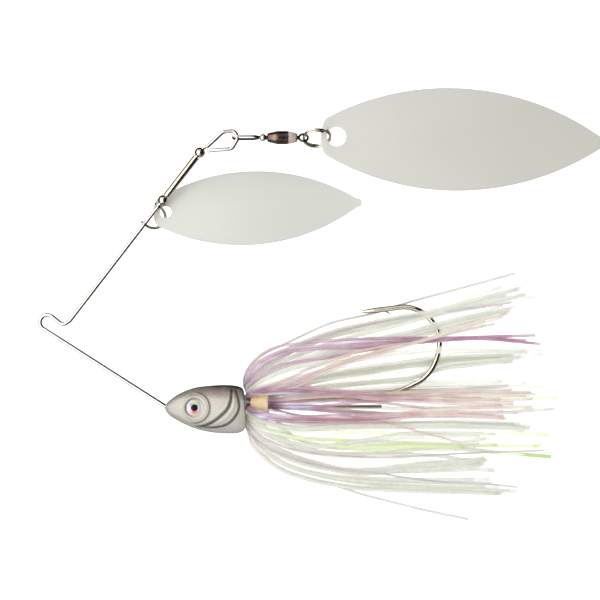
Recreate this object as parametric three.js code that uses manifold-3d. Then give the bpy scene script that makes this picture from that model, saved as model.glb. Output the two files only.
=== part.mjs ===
// Double-willow spinnerbait lying on its side. Millimetres, +Z up, +X from the nose to the tail.
// The bent wire, the hook and the middle of the head share one plane, MID_Z above the table.
import * as THREE from 'three';
import { mergeVertices } from 'three/addons/utils/BufferGeometryUtils.js';
import Module from 'manifold-3d';

const wasm = await Module();
wasm.setup();

// ---------------------------------------------------------------- driving dimensions (mm)
const MID_Z = 4.2;
const GAP = 0.3;
const FIT_GAP = 0.15;

// Wire frame
const WIRE_R = 0.45;
const WIRE_SIDES = 10;
const BEND_STEPS = 7;
const NOSE = [-38.29, -24.66];
const NOSE_R = 3;
const TIE_BEND = [-69.6, -4.71];
const TIE_BEND_R = 1.8;
const TIE_KNEE = [-63.25, -4.9];
const TIE_KNEE_R = 1.25;
const TIE_SHOULDER = [-67.38, -1.63];
const TIE_SHOULDER_R = 1.8;
const ARM_START = [-61.57, -3.81];
const ARM_START_R = 1.5;
const ARM_ANGLE = THREE.MathUtils.degToRad(52.33);
const LOOP_BASE_AT = 53.0;
const LOOP_BASE_R = 0.9;
const LOOP_FOOT = [-28.1, 38.55];
const LOOP_FOOT_R = 0.9;
const LOOP_SHOULDER = [-24.4, 42.0];
const LOOP_SHOULDER_R = 2.2;
const LOOP_CROWN = [-21.45, 42.25];
const LOOP_CROWN_R = 1.25;
const LOOP_SIDE = [-20.95, 40.2];
const LOOP_SIDE_R = 1.2;
const LOOP_HEEL = [-22.3, 37.85];
const LOOP_HEEL_R = 1.3;
const LOOP_END = [-28.2, 37.4];
const ANCHOR_DROP = [-34.4, -27.1];
const ANCHOR_RISE = [-26.2, -27.1];
const ANCHOR_R = 1.6;
const TAIL_BEND = [-22.6, -24.75];
const TAIL_BEND_R = 2.5;
const TAIL_END = [13.8, -24.6];

// Pieces threaded on the upper arm, by distance from ARM_START
const BEAD_R = 1.25;
const BEAD_STEPS = 10;
const LOWER_BEAD_AT = 36.9;
const UPPER_BEAD_AT = 51.5;
const SPACER_R = 0.8;
const EAR_R = 1.05;
const EAR_THICK = 0.5;
const LOWER_EAR_AT = 29.6;
const UPPER_EAR_AT = 35.1;
const SIDE_PLAY = 0.05;
const BOW_R = 0.32;
const BOW_FOOT = 0.8;
const BOW_STEPS = 18;
const BOW_REACH = 4.75;
const BOW_TILT = THREE.MathUtils.degToRad(45);

// Willow blades: both share one outline, in fractions of the length
const BLADE_FRONT_ARC = 0.9;
const BLADE_REAR_ARC = 0.93;
const BLADE_WIDEST = 0.458;
const BLADE_HALF_WIDTH = 0.179;
const BLADE_HEEL = 0.02;
const BLADE_TIP = 0.015;
const BLADE_DRILL = 6;
const BLADE_ROWS = 26;
const BLADE_COLUMNS = 6;
const FRONT_BLADE = { length: 50.8, thick: 0.5, cup: 1.7, hole: 3.05, holeR: 1.45 };
const REAR_BLADE = { length: 69.85, thick: 0.6, cup: 2.3, hole: 3.8, holeR: 2.25 };
const FRONT_BLADE_HOLE = [-38.43, 22.52, 2.2];
const FRONT_BLADE_TURN = THREE.MathUtils.degToRad(2.9);
const FRONT_BLADE_SLOPE = THREE.MathUtils.degToRad(0.9);
const FRONT_BLADE_ROLL = THREE.MathUtils.degToRad(-8);

// Swivel chain, laid out along X from the loop and then sloped down to the table
const CHAIN_START = [-21.3, 40.6];
const CHAIN_SLOPE = THREE.MathUtils.degToRad(2.2);
const EYE_WIRE_R = 0.29;
const FRONT_EYE_STEPS = 8;
const FRONT_EYE = { wrap: -0.76, end: 5.9, halfWidth: 0.98, spin: THREE.MathUtils.degToRad(68) };
const REAR_EYE = { centre: 16.35, radius: 1.08, spin: THREE.MathUtils.degToRad(-36) };
const BARREL_START = 7.6;
const BARREL_LENGTH = 7.2;
const BARREL_R = 1.6;
const BARREL_END_R = 1.12;
const BARREL_BORE_R = 0.72;
const BARREL_WALL = 0.35;
const BARREL_TAPER = 1.9;
const BARREL_LIP = 0.55;
const BARREL_SHOULDER = 0.9;
const NECK_R = 0.52;
const STOP_R = 0.98;
const STOP_LENGTH = 0.7;
const STOP_DEPTH = 1.35;
const STOP_PLAY = 0.17;
const SLEEVE_R = 0.75;
const RING_R = 3.22;
const RING_WIRE_R = 0.27;
const RING_PITCH = 0.62;
const RING_TURNS = 1.94;
const RING_STEPS = 46;
const RING_END_ANGLE = THREE.MathUtils.degToRad(63);
const RING_TILT = THREE.MathUtils.degToRad(54);
const RING_CENTRE = REAR_EYE.centre + RING_R + SIDE_PLAY;
const REAR_BLADE_END = 20.6;
const REAR_BLADE_TURN = THREE.MathUtils.degToRad(-1.2);
const REAR_BLADE_SHIFT = [0.27, -0.35];

// Head: stations from nose to rear, each [x, top y, bottom y, half thickness]
const HEAD_STATIONS = [
  [-38.6, -24.05, -25.75, 1.0],
  [-37.6, -23.4, -26.7, 1.6],
  [-35.9, -22.1, -27.9, 2.35],
  [-33.4, -20.85, -29.2, 3.15],
  [-30.8, -20.0, -30.2, 3.75],
  [-27.5, -19.6, -30.9, 4.2],
  [-24.2, -19.4, -31.15, 4.4],
  [-21.2, -19.55, -31.05, 4.35],
  [-19.75, -20.0, -30.4, 4.0],
  [-19.0, -20.9, -29.0, 3.3],
];
const HEAD_SIDES = 24;
const HEAD_SQUARENESS = 2.25;
const HEAD_RAKE = 0.06;
const HEAD_AXIS = [-23.7, MID_Z];
const BOSS = { start: -20, end: -13.9, radius: 1.9 };
const TABLE_CUT = 40;
const EYE_PLACE = [-31.4, -24.86];
const EYE_R = 1.9;
const EYE_THICK = 0.7;
const EYE_DOME = 0.35;
const EYE_STAND = 3.1;
const EYE_FLAT = 0.7;
const SOCKET_DEPTH = 2;

// Hook
const HOOK_R = 0.62;
const HOOK_SIDES = 10;
const HOOK_EYE_R = 1.55;
const HOOK_EYE_X = -28.6;
const HOOK_Y = -23.25;
const HOOK_STEPS = 44;
const HOOK_POINT = { lap: 0.4, length: 4.2, tipR: 0.06 };
const BARB = { root: [14.2, -1.1], tip: [16.5, -2.3], rootR: 0.32, tipR: 0.12 };

// Skirt
const COLLAR = { start: -17.9, end: -13.4, outer: 3.15, inner: 2.2 };
const TUFT_SIDES = 6;
const TUFT_STEPS = 10;
const TUFT_R = 0.5;

// ---------------------------------------------------------------- colours and finishes
const finish = (color, roughness, metalness) =>
  new THREE.MeshStandardMaterial({ color, roughness, metalness });
const STEEL = finish('#b9b4aa', 0.22, 1);
const NICKEL = finish('#c9c6bf', 0.15, 1);
const GUNMETAL = finish('#5d5049', 0.3, 1);
const HOOK_METAL = finish('#c3b6a2', 0.25, 1);
const PEARL = finish('#d9d9d2', 0.3, 0);
const HEAD_PAINT = finish('#cdc8c0', 0.3, 0.2);
const EYE_FOIL = finish('#d9d6c0', 0.2, 0.3);
const COLLAR_RUBBER = finish('#e4cda5', 0.6, 0);
const PURPLE = finish('#b078a0', 0.4, 0);
const WHITE = finish('#e6e6de', 0.4, 0);
const PEACH = finish('#e1c8b9', 0.4, 0);
const CHARTREUSE = finish('#dcf096', 0.4, 0);

// ---------------------------------------------------------------- solids
function toSolid(geometry) {
  const bare = geometry.clone();
  bare.deleteAttribute('normal');
  bare.deleteAttribute('uv');
  const merged = mergeVertices(bare, 1e-5);
  const vertProperties = new Float32Array(merged.attributes.position.array);
  const triVerts = new Uint32Array(merged.index.array);
  return new wasm.Manifold(new wasm.Mesh({ numProp: 3, vertProperties, triVerts }));
}

function toGeometry(solid) {
  const mesh = solid.getMesh();
  const geometry = new THREE.BufferGeometry();
  geometry.setAttribute('position', new THREE.BufferAttribute(mesh.vertProperties, 3));
  geometry.setIndex(new THREE.BufferAttribute(mesh.triVerts, 1));
  geometry.computeVertexNormals();
  return geometry;
}

function join(...geometries) {
  return toGeometry(geometries.map(toSolid).reduce((whole, piece) => whole.add(piece)));
}

function cut(geometry, ...tools) {
  return toGeometry(tools.map(toSolid).reduce((left, tool) => left.subtract(tool), toSolid(geometry)));
}

function polygon(radius, sides) {
  const corner = (i) => {
    const angle = (2 * Math.PI * i) / sides;
    return new THREE.Vector2(radius * Math.cos(angle), radius * Math.sin(angle));
  };
  return Array.from({ length: sides }, (_, i) => corner(i));
}

// A centre line that is stepped exactly at its own points, so bends can be finer than straights.
class SteppedPath extends THREE.Curve {
  constructor(points) {
    super();
    this.points = points;
  }

  nearest(u) {
    return Math.round(u * (this.points.length - 1));
  }

  getPointAt(u, target = new THREE.Vector3()) {
    return target.copy(this.points[this.nearest(u)]);
  }

  getTangentAt(u, target = new THREE.Vector3()) {
    const index = this.nearest(u);
    const before = this.points[Math.max(index - 1, 0)];
    const after = this.points[Math.min(index + 1, this.points.length - 1)];
    return target.copy(after).sub(before).normalize();
  }
}

function rod(points, radius, sides) {
  const options = { steps: points.length - 1, bevelEnabled: false, extrudePath: new SteppedPath(points) };
  return new THREE.ExtrudeGeometry(new THREE.Shape(polygon(radius, sides)), options);
}

// Points along straight runs joined by arcs; corners are [x, y, radius], the ends have no radius.
function bentPath(corners) {
  const spots = corners.map(([x, y]) => new THREE.Vector3(x, y, MID_Z));
  const points = [spots[0]];
  for (let i = 1; i < corners.length - 1; i++) {
    const back = spots[i - 1].clone().sub(spots[i]).normalize();
    const ahead = spots[i + 1].clone().sub(spots[i]).normalize();
    const half = back.angleTo(ahead) / 2;
    const radius = corners[i][2];
    const middle = back.clone().add(ahead).normalize();
    const centre = middle.clone().multiplyScalar(radius / Math.sin(half)).add(spots[i]);
    const from = back.clone().multiplyScalar(radius / Math.tan(half)).add(spots[i]).sub(centre);
    const side = middle.clone().negate();
    for (let k = 0; k <= BEND_STEPS; k++) {
      const swing = (Math.PI / 2 - half) * ((2 * k) / BEND_STEPS - 1);
      const across = from.clone().projectOnPlane(side).normalize();
      const spoke = side.clone().multiplyScalar(Math.cos(swing));
      spoke.addScaledVector(across, -Math.sin(swing));
      points.push(spoke.multiplyScalar(radius).add(centre));
    }
  }
  points.push(spots[spots.length - 1]);
  return points;
}

function smoothPath(spots, steps) {
  const curve = new THREE.CatmullRomCurve3(spots.map((spot) => new THREE.Vector3(...spot)));
  return curve.getSpacedPoints(steps);
}

// A turned solid about +X; profile is a list of [x, radius] that closes on itself or on the axis.
function turned(profile, sides) {
  const points = profile.map(([x, radius]) => new THREE.Vector2(radius, x));
  return new THREE.LatheGeometry(points, sides).rotateZ(-Math.PI / 2);
}

function turnedTube(start, end, outer, inner, sides) {
  return turned([[start, inner], [start, outer], [end, outer], [end, inner], [start, inner]], sides);
}

function turnedRod(start, end, radius, sides) {
  return turned([[start, 0], [start, radius], [end, radius], [end, 0]], sides);
}

// A solid skinned over a row of equal closed sections.
function skinned(sections) {
  const count = sections[0].length;
  const position = sections.flat().flatMap((point) => point.toArray());
  const index = [];
  for (let row = 0; row < sections.length - 1; row++) {
    for (let k = 0; k < count; k++) {
      const a = row * count + k;
      const b = row * count + ((k + 1) % count);
      index.push(a, b, b + count, a, b + count, a + count);
    }
  }
  const last = (sections.length - 1) * count;
  for (let k = 1; k < count - 1; k++) {
    index.push(0, k + 1, k, last, last + k, last + k + 1);
  }
  const geometry = new THREE.BufferGeometry();
  geometry.setAttribute('position', new THREE.Float32BufferAttribute(position, 3));
  geometry.setIndex(index);
  geometry.computeVertexNormals();
  return geometry;
}

const object = new THREE.Group();

function add(name, geometry, material, parent = object) {
  const mesh = new THREE.Mesh(geometry, material);
  mesh.name = name;
  parent.add(mesh);
  return mesh;
}

// ---------------------------------------------------------------- wire frame
function alongArm(distance) {
  const [x, y] = ARM_START;
  return [x + distance * Math.cos(ARM_ANGLE), y + distance * Math.sin(ARM_ANGLE)];
}

function wireRoute() {
  return bentPath([
    [...LOOP_END],
    [...LOOP_HEEL, LOOP_HEEL_R],
    [...LOOP_SIDE, LOOP_SIDE_R],
    [...LOOP_CROWN, LOOP_CROWN_R],
    [...LOOP_SHOULDER, LOOP_SHOULDER_R],
    [...LOOP_FOOT, LOOP_FOOT_R],
    [...alongArm(LOOP_BASE_AT), LOOP_BASE_R],
    [...ARM_START, ARM_START_R],
    [...TIE_KNEE, TIE_KNEE_R],
    [...TIE_SHOULDER, TIE_SHOULDER_R],
    [...TIE_BEND, TIE_BEND_R],
    [...NOSE, NOSE_R],
    [...ANCHOR_DROP, ANCHOR_R],
    [...ANCHOR_RISE, ANCHOR_R],
    [...TAIL_BEND, TAIL_BEND_R],
    [...TAIL_END],
  ]);
}

const wire = wireRoute();
add('wire_frame', rod(wire, WIRE_R, WIRE_SIDES), STEEL);

// ---------------------------------------------------------------- hook
function hookRoute() {
  return smoothPath([
    [HOOK_EYE_X + HOOK_EYE_R, HOOK_Y, MID_Z],
    [-20, HOOK_Y, MID_Z],
    [-12, HOOK_Y, MID_Z],
    [0, -22.8, MID_Z],
    [11.9, -22.1, MID_Z],
    [17.1, -21.2, MID_Z],
    [21.3, -19.5, MID_Z],
    [24.2, -17.8, MID_Z],
    [26.6, -14.8, MID_Z],
    [28, -10, MID_Z],
    [27.4, -5.8, MID_Z],
    [24.2, -2, MID_Z],
    [20.3, -0.55, MID_Z],
    [15.8, -0.9, MID_Z],
    [12.4, -1.3, MID_Z],
  ], HOOK_STEPS);
}

function hookSolid(clearance = 0) {
  const route = hookRoute();
  const eye = new THREE.TorusGeometry(HOOK_EYE_R, HOOK_R + clearance, 8, 20);
  eye.translate(HOOK_EYE_X, HOOK_Y, MID_Z);
  return join(rod(route, HOOK_R + clearance, HOOK_SIDES), eye);
}

// The needle point carries on from the end of the bend.
function hookPoint() {
  const route = hookRoute();
  const last = route[route.length - 1];
  const heading = last.clone().sub(route[route.length - 2]);
  const { lap, length, tipR } = HOOK_POINT;
  const needle = turned([[-lap, 0], [-lap, HOOK_R * 0.98], [0, HOOK_R], [length, tipR], [length, 0]],
    HOOK_SIDES);
  return needle.rotateZ(Math.atan2(heading.y, heading.x)).translate(last.x, last.y, last.z);
}

// The barb leans out of the inner side of the point, back towards the bend.
function hookBarb() {
  const root = new THREE.Vector2(...BARB.root);
  const lean = new THREE.Vector2(...BARB.tip).sub(root);
  const length = lean.length();
  const barb = turned([[0, 0], [0, BARB.rootR], [length, BARB.tipR], [length, 0]], TUFT_SIDES);
  return barb.rotateZ(lean.angle()).translate(root.x, root.y, MID_Z);
}

add('hook', join(hookSolid(), hookPoint(), hookBarb()), HOOK_METAL);

// ---------------------------------------------------------------- head and eyes
function headSection([x, top, bottom, half]) {
  const middle = (top + bottom) / 2;
  const power = 2 / HEAD_SQUARENESS;
  const round = (value) => Math.sign(value) * Math.abs(value) ** power;
  return Array.from({ length: HEAD_SIDES }, (_, k) => {
    const angle = (2 * Math.PI * k) / HEAD_SIDES;
    const rise = ((top - bottom) / 2) * round(Math.cos(angle));
    return new THREE.Vector3(x - HEAD_RAKE * rise, middle + rise, MID_Z + half * round(Math.sin(angle)));
  });
}

function headSolid() {
  const boss = turnedRod(BOSS.start, BOSS.end, BOSS.radius, 16).translate(0, ...HEAD_AXIS);
  const body = join(skinned(HEAD_STATIONS.map(headSection)), boss);
  const below = new THREE.BoxGeometry(TABLE_CUT, TABLE_CUT, TABLE_CUT);
  below.translate(BOSS.start, HEAD_AXIS[0], -TABLE_CUT / 2);
  const wireWay = rod(wire, WIRE_R + GAP, WIRE_SIDES);
  const sockets = [-1, 1].map((side) => {
    const socket = new THREE.CylinderGeometry(EYE_R + GAP, EYE_R + GAP, SOCKET_DEPTH, 24);
    const middle = MID_Z + side * (EYE_STAND - GAP + SOCKET_DEPTH / 2);
    return socket.rotateX(Math.PI / 2).translate(...EYE_PLACE, middle);
  });
  return cut(body, below, wireWay, hookSolid(GAP), ...sockets);
}

add('lead_head', headSolid(), HEAD_PAINT);

function stickOnEye(side) {
  const top = EYE_THICK + EYE_DOME;
  const profile = [[0, 0], [0, EYE_R], [EYE_THICK, EYE_R], [top, EYE_R * EYE_FLAT], [top, 0]];
  const eye = turned(profile, 24).rotateY(-side * Math.PI / 2);
  return eye.translate(...EYE_PLACE, MID_Z + side * EYE_STAND);
}

add('left_eye', stickOnEye(1), EYE_FOIL);
add('right_eye', stickOnEye(-1), EYE_FOIL);

// ---------------------------------------------------------------- pieces on the upper arm
const arm = new THREE.Group();
arm.position.set(ARM_START[0], ARM_START[1], MID_Z);
arm.rotation.z = ARM_ANGLE;
object.add(arm);

const BORE_R = WIRE_R + FIT_GAP;

function bead() {
  const reach = Math.sqrt(BEAD_R ** 2 - BORE_R ** 2);
  const from = Math.acos(reach / BEAD_R);
  const arc = Array.from({ length: BEAD_STEPS + 1 }, (_, k) => {
    const angle = Math.PI - from - ((Math.PI - 2 * from) * k) / BEAD_STEPS;
    return [BEAD_R * Math.cos(angle), BEAD_R * Math.sin(angle)];
  });
  return turned([...arc, arc[0]], 18);
}

add('lower_bead', bead(), NICKEL, arm).position.x = LOWER_BEAD_AT;
add('upper_bead', bead(), NICKEL, arm).position.x = UPPER_BEAD_AT;

const spacerStart = LOWER_BEAD_AT + BEAD_R + SIDE_PLAY;
const spacerEnd = UPPER_BEAD_AT - BEAD_R - SIDE_PLAY;
add('spacer_tube', turnedTube(spacerStart, spacerEnd, SPACER_R, BORE_R, 14), STEEL, arm);

// The bow leaves the two ears and bulges to one side; its plane is tilted towards the table.
function clevis() {
  const middle = (LOWER_EAR_AT + UPPER_EAR_AT) / 2;
  const half = (UPPER_EAR_AT - LOWER_EAR_AT) / 2;
  const bow = Array.from({ length: BOW_STEPS + 1 }, (_, k) => {
    const angle = (Math.PI * k) / BOW_STEPS;
    const out = BOW_FOOT + (BOW_REACH - BOW_FOOT) * Math.sin(angle);
    return new THREE.Vector3(middle + half * Math.cos(angle), -out, 0);
  });
  const ears = [LOWER_EAR_AT, UPPER_EAR_AT].map((at) =>
    turnedRod(at - EAR_THICK / 2, at + EAR_THICK / 2, EAR_R, 18));
  const whole = join(rod(bow, BOW_R, 8), ...ears);
  const bore = turnedRod(LOWER_EAR_AT - EAR_R, UPPER_EAR_AT + EAR_R, BORE_R, 18);
  return cut(whole, bore).rotateX(BOW_TILT);
}

add('clevis', clevis(), NICKEL, arm);

// ---------------------------------------------------------------- willow blades
function bladeHalfWidth(x, length) {
  const widest = BLADE_WIDEST * length;
  const radius = (x < widest ? BLADE_FRONT_ARC : BLADE_REAR_ARC) * length;
  const arc = BLADE_HALF_WIDTH * length - radius + Math.sqrt(radius ** 2 - (x - widest) ** 2);
  const rounding = (depth, reach) => (depth < reach ? Math.sqrt(1 - (1 - depth / reach) ** 2) : 1);
  const heel = rounding(x, BLADE_HEEL * length);
  const tip = rounding(length - x, BLADE_TIP * length);
  return Math.max(arc, BLADE_HEEL * length) * heel * tip;
}

// Flat outline on z = 0 with the middle raised, hole centre at the origin, tip towards +X.
function blade({ length, thick, cup, hole, holeR }) {
  const widest = BLADE_HALF_WIDTH * length;
  const sections = Array.from({ length: BLADE_ROWS + 1 }, (_, row) => {
    const phase = (row + 0.35) / (BLADE_ROWS + 0.7);
    const x = (length * (1 - Math.cos(Math.PI * phase))) / 2;
    const half = bladeHalfWidth(x, length);
    const spot = (k, side) => {
      const y = half * (1 - (2 * k) / BLADE_COLUMNS);
      const z = (cup * (half ** 2 - y ** 2)) / widest ** 2;
      return new THREE.Vector3(x - hole, y, z + (side * thick) / 2);
    };
    const columns = Array.from({ length: BLADE_COLUMNS + 1 }, (_, k) => k);
    const top = columns.map((k) => spot(k, 1));
    const bottom = columns.reverse().map((k) => spot(k, -1));
    return [...top, ...bottom];
  });
  const drill = new THREE.CylinderGeometry(holeR, holeR, BLADE_DRILL, 28).rotateX(Math.PI / 2);
  return cut(skinned(sections), drill);
}

const frontBladeGroup = new THREE.Group();
frontBladeGroup.position.set(...FRONT_BLADE_HOLE);
frontBladeGroup.rotation.set(FRONT_BLADE_ROLL, FRONT_BLADE_SLOPE, FRONT_BLADE_TURN, 'ZYX');
object.add(frontBladeGroup);
add('front_blade', blade(FRONT_BLADE), PEARL, frontBladeGroup);

// ---------------------------------------------------------------- swivel, split ring, rear blade
const chain = new THREE.Group();
chain.position.set(CHAIN_START[0], CHAIN_START[1], MID_Z);
chain.rotation.y = CHAIN_SLOPE;
object.add(chain);

// A long wire loop whose ends come together in a sleeve, then a neck and a stop inside the barrel.
function frontEye() {
  const { wrap, end, halfWidth, spin } = FRONT_EYE;
  const bend = wrap + halfWidth;
  const leg = [[end + SLEEVE_R, 0.12], [end - 0.3, 0.3], [end - 1.4, halfWidth]];
  const round = Array.from({ length: FRONT_EYE_STEPS + 1 }, (_, k) => {
    const angle = Math.PI / 2 + (Math.PI * k) / FRONT_EYE_STEPS;
    return [bend + halfWidth * Math.cos(angle), halfWidth * Math.sin(angle)];
  });
  const points = [...leg, ...round, ...leg.map(([x, y]) => [x, -y]).reverse()];
  const loop = rod(points.map(([x, y]) => new THREE.Vector3(x, y, 0)), EYE_WIRE_R, 8);
  const sleeveEnd = BARREL_START - GAP;
  const stop = BARREL_START + STOP_DEPTH;
  const neck = turned([[end, 0], [end, SLEEVE_R], [sleeveEnd, SLEEVE_R], [sleeveEnd, NECK_R],
    [stop, NECK_R], [stop, STOP_R], [stop + STOP_LENGTH, STOP_R], [stop + STOP_LENGTH, 0]], 16);
  return join(loop, neck).rotateX(spin);
}

function barrel() {
  const [a, b] = [BARREL_START, BARREL_START + BARREL_LENGTH];
  const roomR = BARREL_R - BARREL_WALL;
  const shoulderR = STOP_R + STOP_PLAY;
  const outer = [[a, BARREL_END_R], [a + BARREL_TAPER, BARREL_R], [b - BARREL_TAPER, BARREL_R],
    [b, BARREL_END_R]];
  const inner = [[b, BARREL_BORE_R], [b - BARREL_LIP, BARREL_BORE_R], [b - BARREL_SHOULDER, shoulderR],
    [b - BARREL_TAPER, roomR], [a + BARREL_TAPER, roomR], [a + BARREL_SHOULDER, shoulderR],
    [a + BARREL_LIP, BARREL_BORE_R], [a, BARREL_BORE_R]];
  return turned([...outer, ...inner, outer[0]], 20);
}

function rearEye() {
  const { centre, radius, spin } = REAR_EYE;
  const loop = new THREE.TorusGeometry(radius, EYE_WIRE_R, 8, 22).translate(centre, 0, 0);
  const stop = BARREL_START + BARREL_LENGTH - STOP_DEPTH;
  const neck = turned([[stop - STOP_LENGTH, 0], [stop - STOP_LENGTH, STOP_R], [stop, STOP_R],
    [stop, NECK_R], [centre - radius, NECK_R], [centre - radius, 0]], 16);
  return join(loop, neck).rotateX(spin);
}

function splitRing() {
  const points = Array.from({ length: RING_STEPS + 1 }, (_, k) => {
    const angle = RING_END_ANGLE + (RING_TURNS * 2 * Math.PI * k) / RING_STEPS;
    const along = RING_PITCH * RING_TURNS * (0.5 - k / RING_STEPS);
    return new THREE.Vector3(RING_R * Math.cos(angle), RING_R * Math.sin(angle), along);
  });
  return rod(points, RING_WIRE_R, 8).rotateX(RING_TILT).translate(RING_CENTRE, 0, 0);
}

add('swivel_front_eye', frontEye(), STEEL, chain);
add('swivel_barrel', barrel(), GUNMETAL, chain);
add('swivel_rear_eye', rearEye(), GUNMETAL, chain);
add('split_ring', splitRing(), STEEL, chain);

const rearBladeMesh = add('rear_blade', blade(REAR_BLADE), PEARL, chain);
rearBladeMesh.position.set(REAR_BLADE_END + REAR_BLADE.hole, ...REAR_BLADE_SHIFT);
rearBladeMesh.rotation.z = REAR_BLADE_TURN;

// ---------------------------------------------------------------- skirt
const collar = turnedTube(COLLAR.start, COLLAR.end, COLLAR.outer, COLLAR.inner, 24);
add('skirt_collar', collar.translate(0, ...HEAD_AXIS), COLLAR_RUBBER);

// Each tuft stands for a few silicone strands. A row gives its colour, where it starts, its clock
// angle round the collar in degrees from +Y towards +Z, and the points on its way to the tip.
const OUTER_START = { x: -17.7, r: 4.05 };
const INNER_START = { x: -12.9, r: 2.6 };

function tuft(start, clock, waypoints) {
  const angle = THREE.MathUtils.degToRad(clock);
  const y = HEAD_AXIS[0] + start.r * Math.cos(angle);
  const z = HEAD_AXIS[1] + start.r * Math.sin(angle);
  return rod(smoothPath([[start.x, y, z], ...waypoints], TUFT_STEPS), TUFT_R, TUFT_SIDES);
}

const TUFTS = [
  ['tuft_top_arch', PURPLE, OUTER_START, 20,
    [[-13, -13, 6.4], [-4, -9.8, 7], [20, -8.9, 7.8], [51, -7.6, 1.6]]],
  ['tuft_top_white_a', WHITE, OUTER_START, 0,
    [[-14, -14.6, 4.6], [-4, -7, 6.4], [20, 0.4, 6.6], [46, 7.4, 1.6]]],
  ['tuft_top_white_b', WHITE, OUTER_START, -20,
    [[-12, -16, 1.6], [0, -9.5, 1.4], [24, -0.4, 1.2], [49, 2.8, 0.9]]],
  ['tuft_top_peach', PEACH, OUTER_START, 42,
    [[-12, -16.6, 8.6], [4, -12.4, 10], [22, -8.4, 9.6], [41.5, -4.4, 4]]],
  ['tuft_upper_white_a', WHITE, OUTER_START, -42,
    [[-10, -18, 1.4], [8, -14.6, 1.3], [30, -12.2, 1.1], [52, -9.8, 0.9]]],
  ['tuft_upper_white_b', WHITE, OUTER_START, 64,
    [[-11, -19.4, 8.6], [8, -17, 9.4], [32, -14, 7], [53, -12.4, 2.4]]],
  ['tuft_upper_lilac', PURPLE, INNER_START, 60,
    [[-4, -20.8, 7.2], [14, -19, 7.2], [30, -16.4, 5.4], [45, -14.6, 4.2]]],
  ['tuft_middle_purple_a', PURPLE, OUTER_START, 86,
    [[-10, -22.2, 9], [8, -21.4, 9.8], [28, -19.6, 7.6], [44, -18.6, 5.4]]],
  ['tuft_middle_white_a', WHITE, INNER_START, -60,
    [[-2, -20.6, 1.4], [16, -19.8, 1.2], [36, -18.8, 1.1], [53, -18.6, 0.9]]],
  ['tuft_middle_white_b', WHITE, INNER_START, 105,
    [[-3, -23.8, 7.4], [16, -23, 7.4], [34, -22.2, 5], [50.5, -22.4, 3]]],
  ['tuft_middle_lime', CHARTREUSE, INNER_START, -105,
    [[-2, -23.6, 1.3], [18, -23, 1.2], [38, -22.8, 1.1], [56.3, -23.4, 0.9]]],
  ['tuft_middle_purple_b', PURPLE, OUTER_START, 108,
    [[-10, -25.6, 8.8], [8, -26, 9.6], [28, -25.6, 7.4], [50, -25, 4.8]]],
  ['tuft_middle_purple_c', PURPLE, INNER_START, 150,
    [[-3, -27, 6], [14, -27.8, 6], [30, -28, 5], [45, -27.4, 4]]],
  ['tuft_lower_white_a', WHITE, INNER_START, -150,
    [[-3, -27.2, 1.8], [14, -27.4, 1.4], [32, -27.2, 1.2], [50, -28.6, 0.9]]],
  ['tuft_lower_lime_a', CHARTREUSE, OUTER_START, 128,
    [[-10, -28.6, 7.8], [8, -30.4, 8], [30, -32, 6], [54, -32.4, 2.2]]],
  ['tuft_lower_lime_b', CHARTREUSE, OUTER_START, -118,
    [[-10, -28.4, 1.4], [10, -31.4, 1.2], [32, -33.6, 1.1], [55, -35.8, 0.9]]],
  ['tuft_lower_white_b', WHITE, OUTER_START, 146,
    [[-11, -30.2, 6.8], [4, -33.6, 7], [22, -36.4, 5.6], [44, -36.8, 2.2]]],
  ['tuft_lower_white_c', WHITE, OUTER_START, -138,
    [[-11, -31, 2.4], [6, -35, 1.6], [24, -38.2, 1.2], [41.5, -39.8, 0.9]]],
  ['tuft_lower_white_d', WHITE, OUTER_START, 164,
    [[-12, -31.8, 5.4], [2, -36.8, 5.2], [20, -40.6, 3.6], [40, -42.6, 2.2]]],
  ['tuft_bottom_white', WHITE, OUTER_START, 182,
    [[-13, -32.6, 4], [0, -39, 3], [18, -43.2, 1.6], [46, -44.8, 0.9]]],
  ['tuft_stray', PURPLE, OUTER_START, 201,
    [[-14.6, -32, 2.2], [-6, -39.8, 1.2], [12, -45.4, 0.8], [35, -52, 0.8]]],
];

for (const [name, material, start, clock, waypoints] of TUFTS) {
  add(name, tuft(start, clock, waypoints), material);
}

export default object;
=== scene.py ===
import math
import random

import bpy
import numpy as np
from mathutils import Matrix, Vector


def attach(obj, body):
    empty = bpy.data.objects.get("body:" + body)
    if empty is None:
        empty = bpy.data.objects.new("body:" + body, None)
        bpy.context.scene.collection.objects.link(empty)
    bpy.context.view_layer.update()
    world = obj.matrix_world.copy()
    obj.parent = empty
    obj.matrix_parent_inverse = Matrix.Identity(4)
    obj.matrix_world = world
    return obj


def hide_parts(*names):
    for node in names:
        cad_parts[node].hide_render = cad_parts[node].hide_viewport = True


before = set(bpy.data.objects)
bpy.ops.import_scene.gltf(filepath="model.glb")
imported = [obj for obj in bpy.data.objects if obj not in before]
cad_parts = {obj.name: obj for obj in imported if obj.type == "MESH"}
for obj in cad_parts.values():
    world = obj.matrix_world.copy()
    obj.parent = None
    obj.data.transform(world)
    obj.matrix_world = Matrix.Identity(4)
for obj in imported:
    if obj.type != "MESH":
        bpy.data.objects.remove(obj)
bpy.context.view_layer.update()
scene = bpy.context.scene

# --- sizes shared with the CAD, mm
MM = 0.001
MID_Z = 4.2
WIRE_R = 0.45
HOOK_R = 0.62
BEAD_R = 1.25
AXIS_Y = -23.7
ARM_START = (-61.57, -3.81)
ARM_ANGLE = math.radians(52.33)
CHAIN_START = (-21.3, 40.6)
CHAIN_SLOPE = math.radians(2.2)
EYE_PLACE = (-31.28, -24.78)

# --- camera
SENSOR_MM = 36
LENS_MM = 173.2
CAMERA_AT = (-0.0058, 0.0012, 0.7042)

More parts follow.
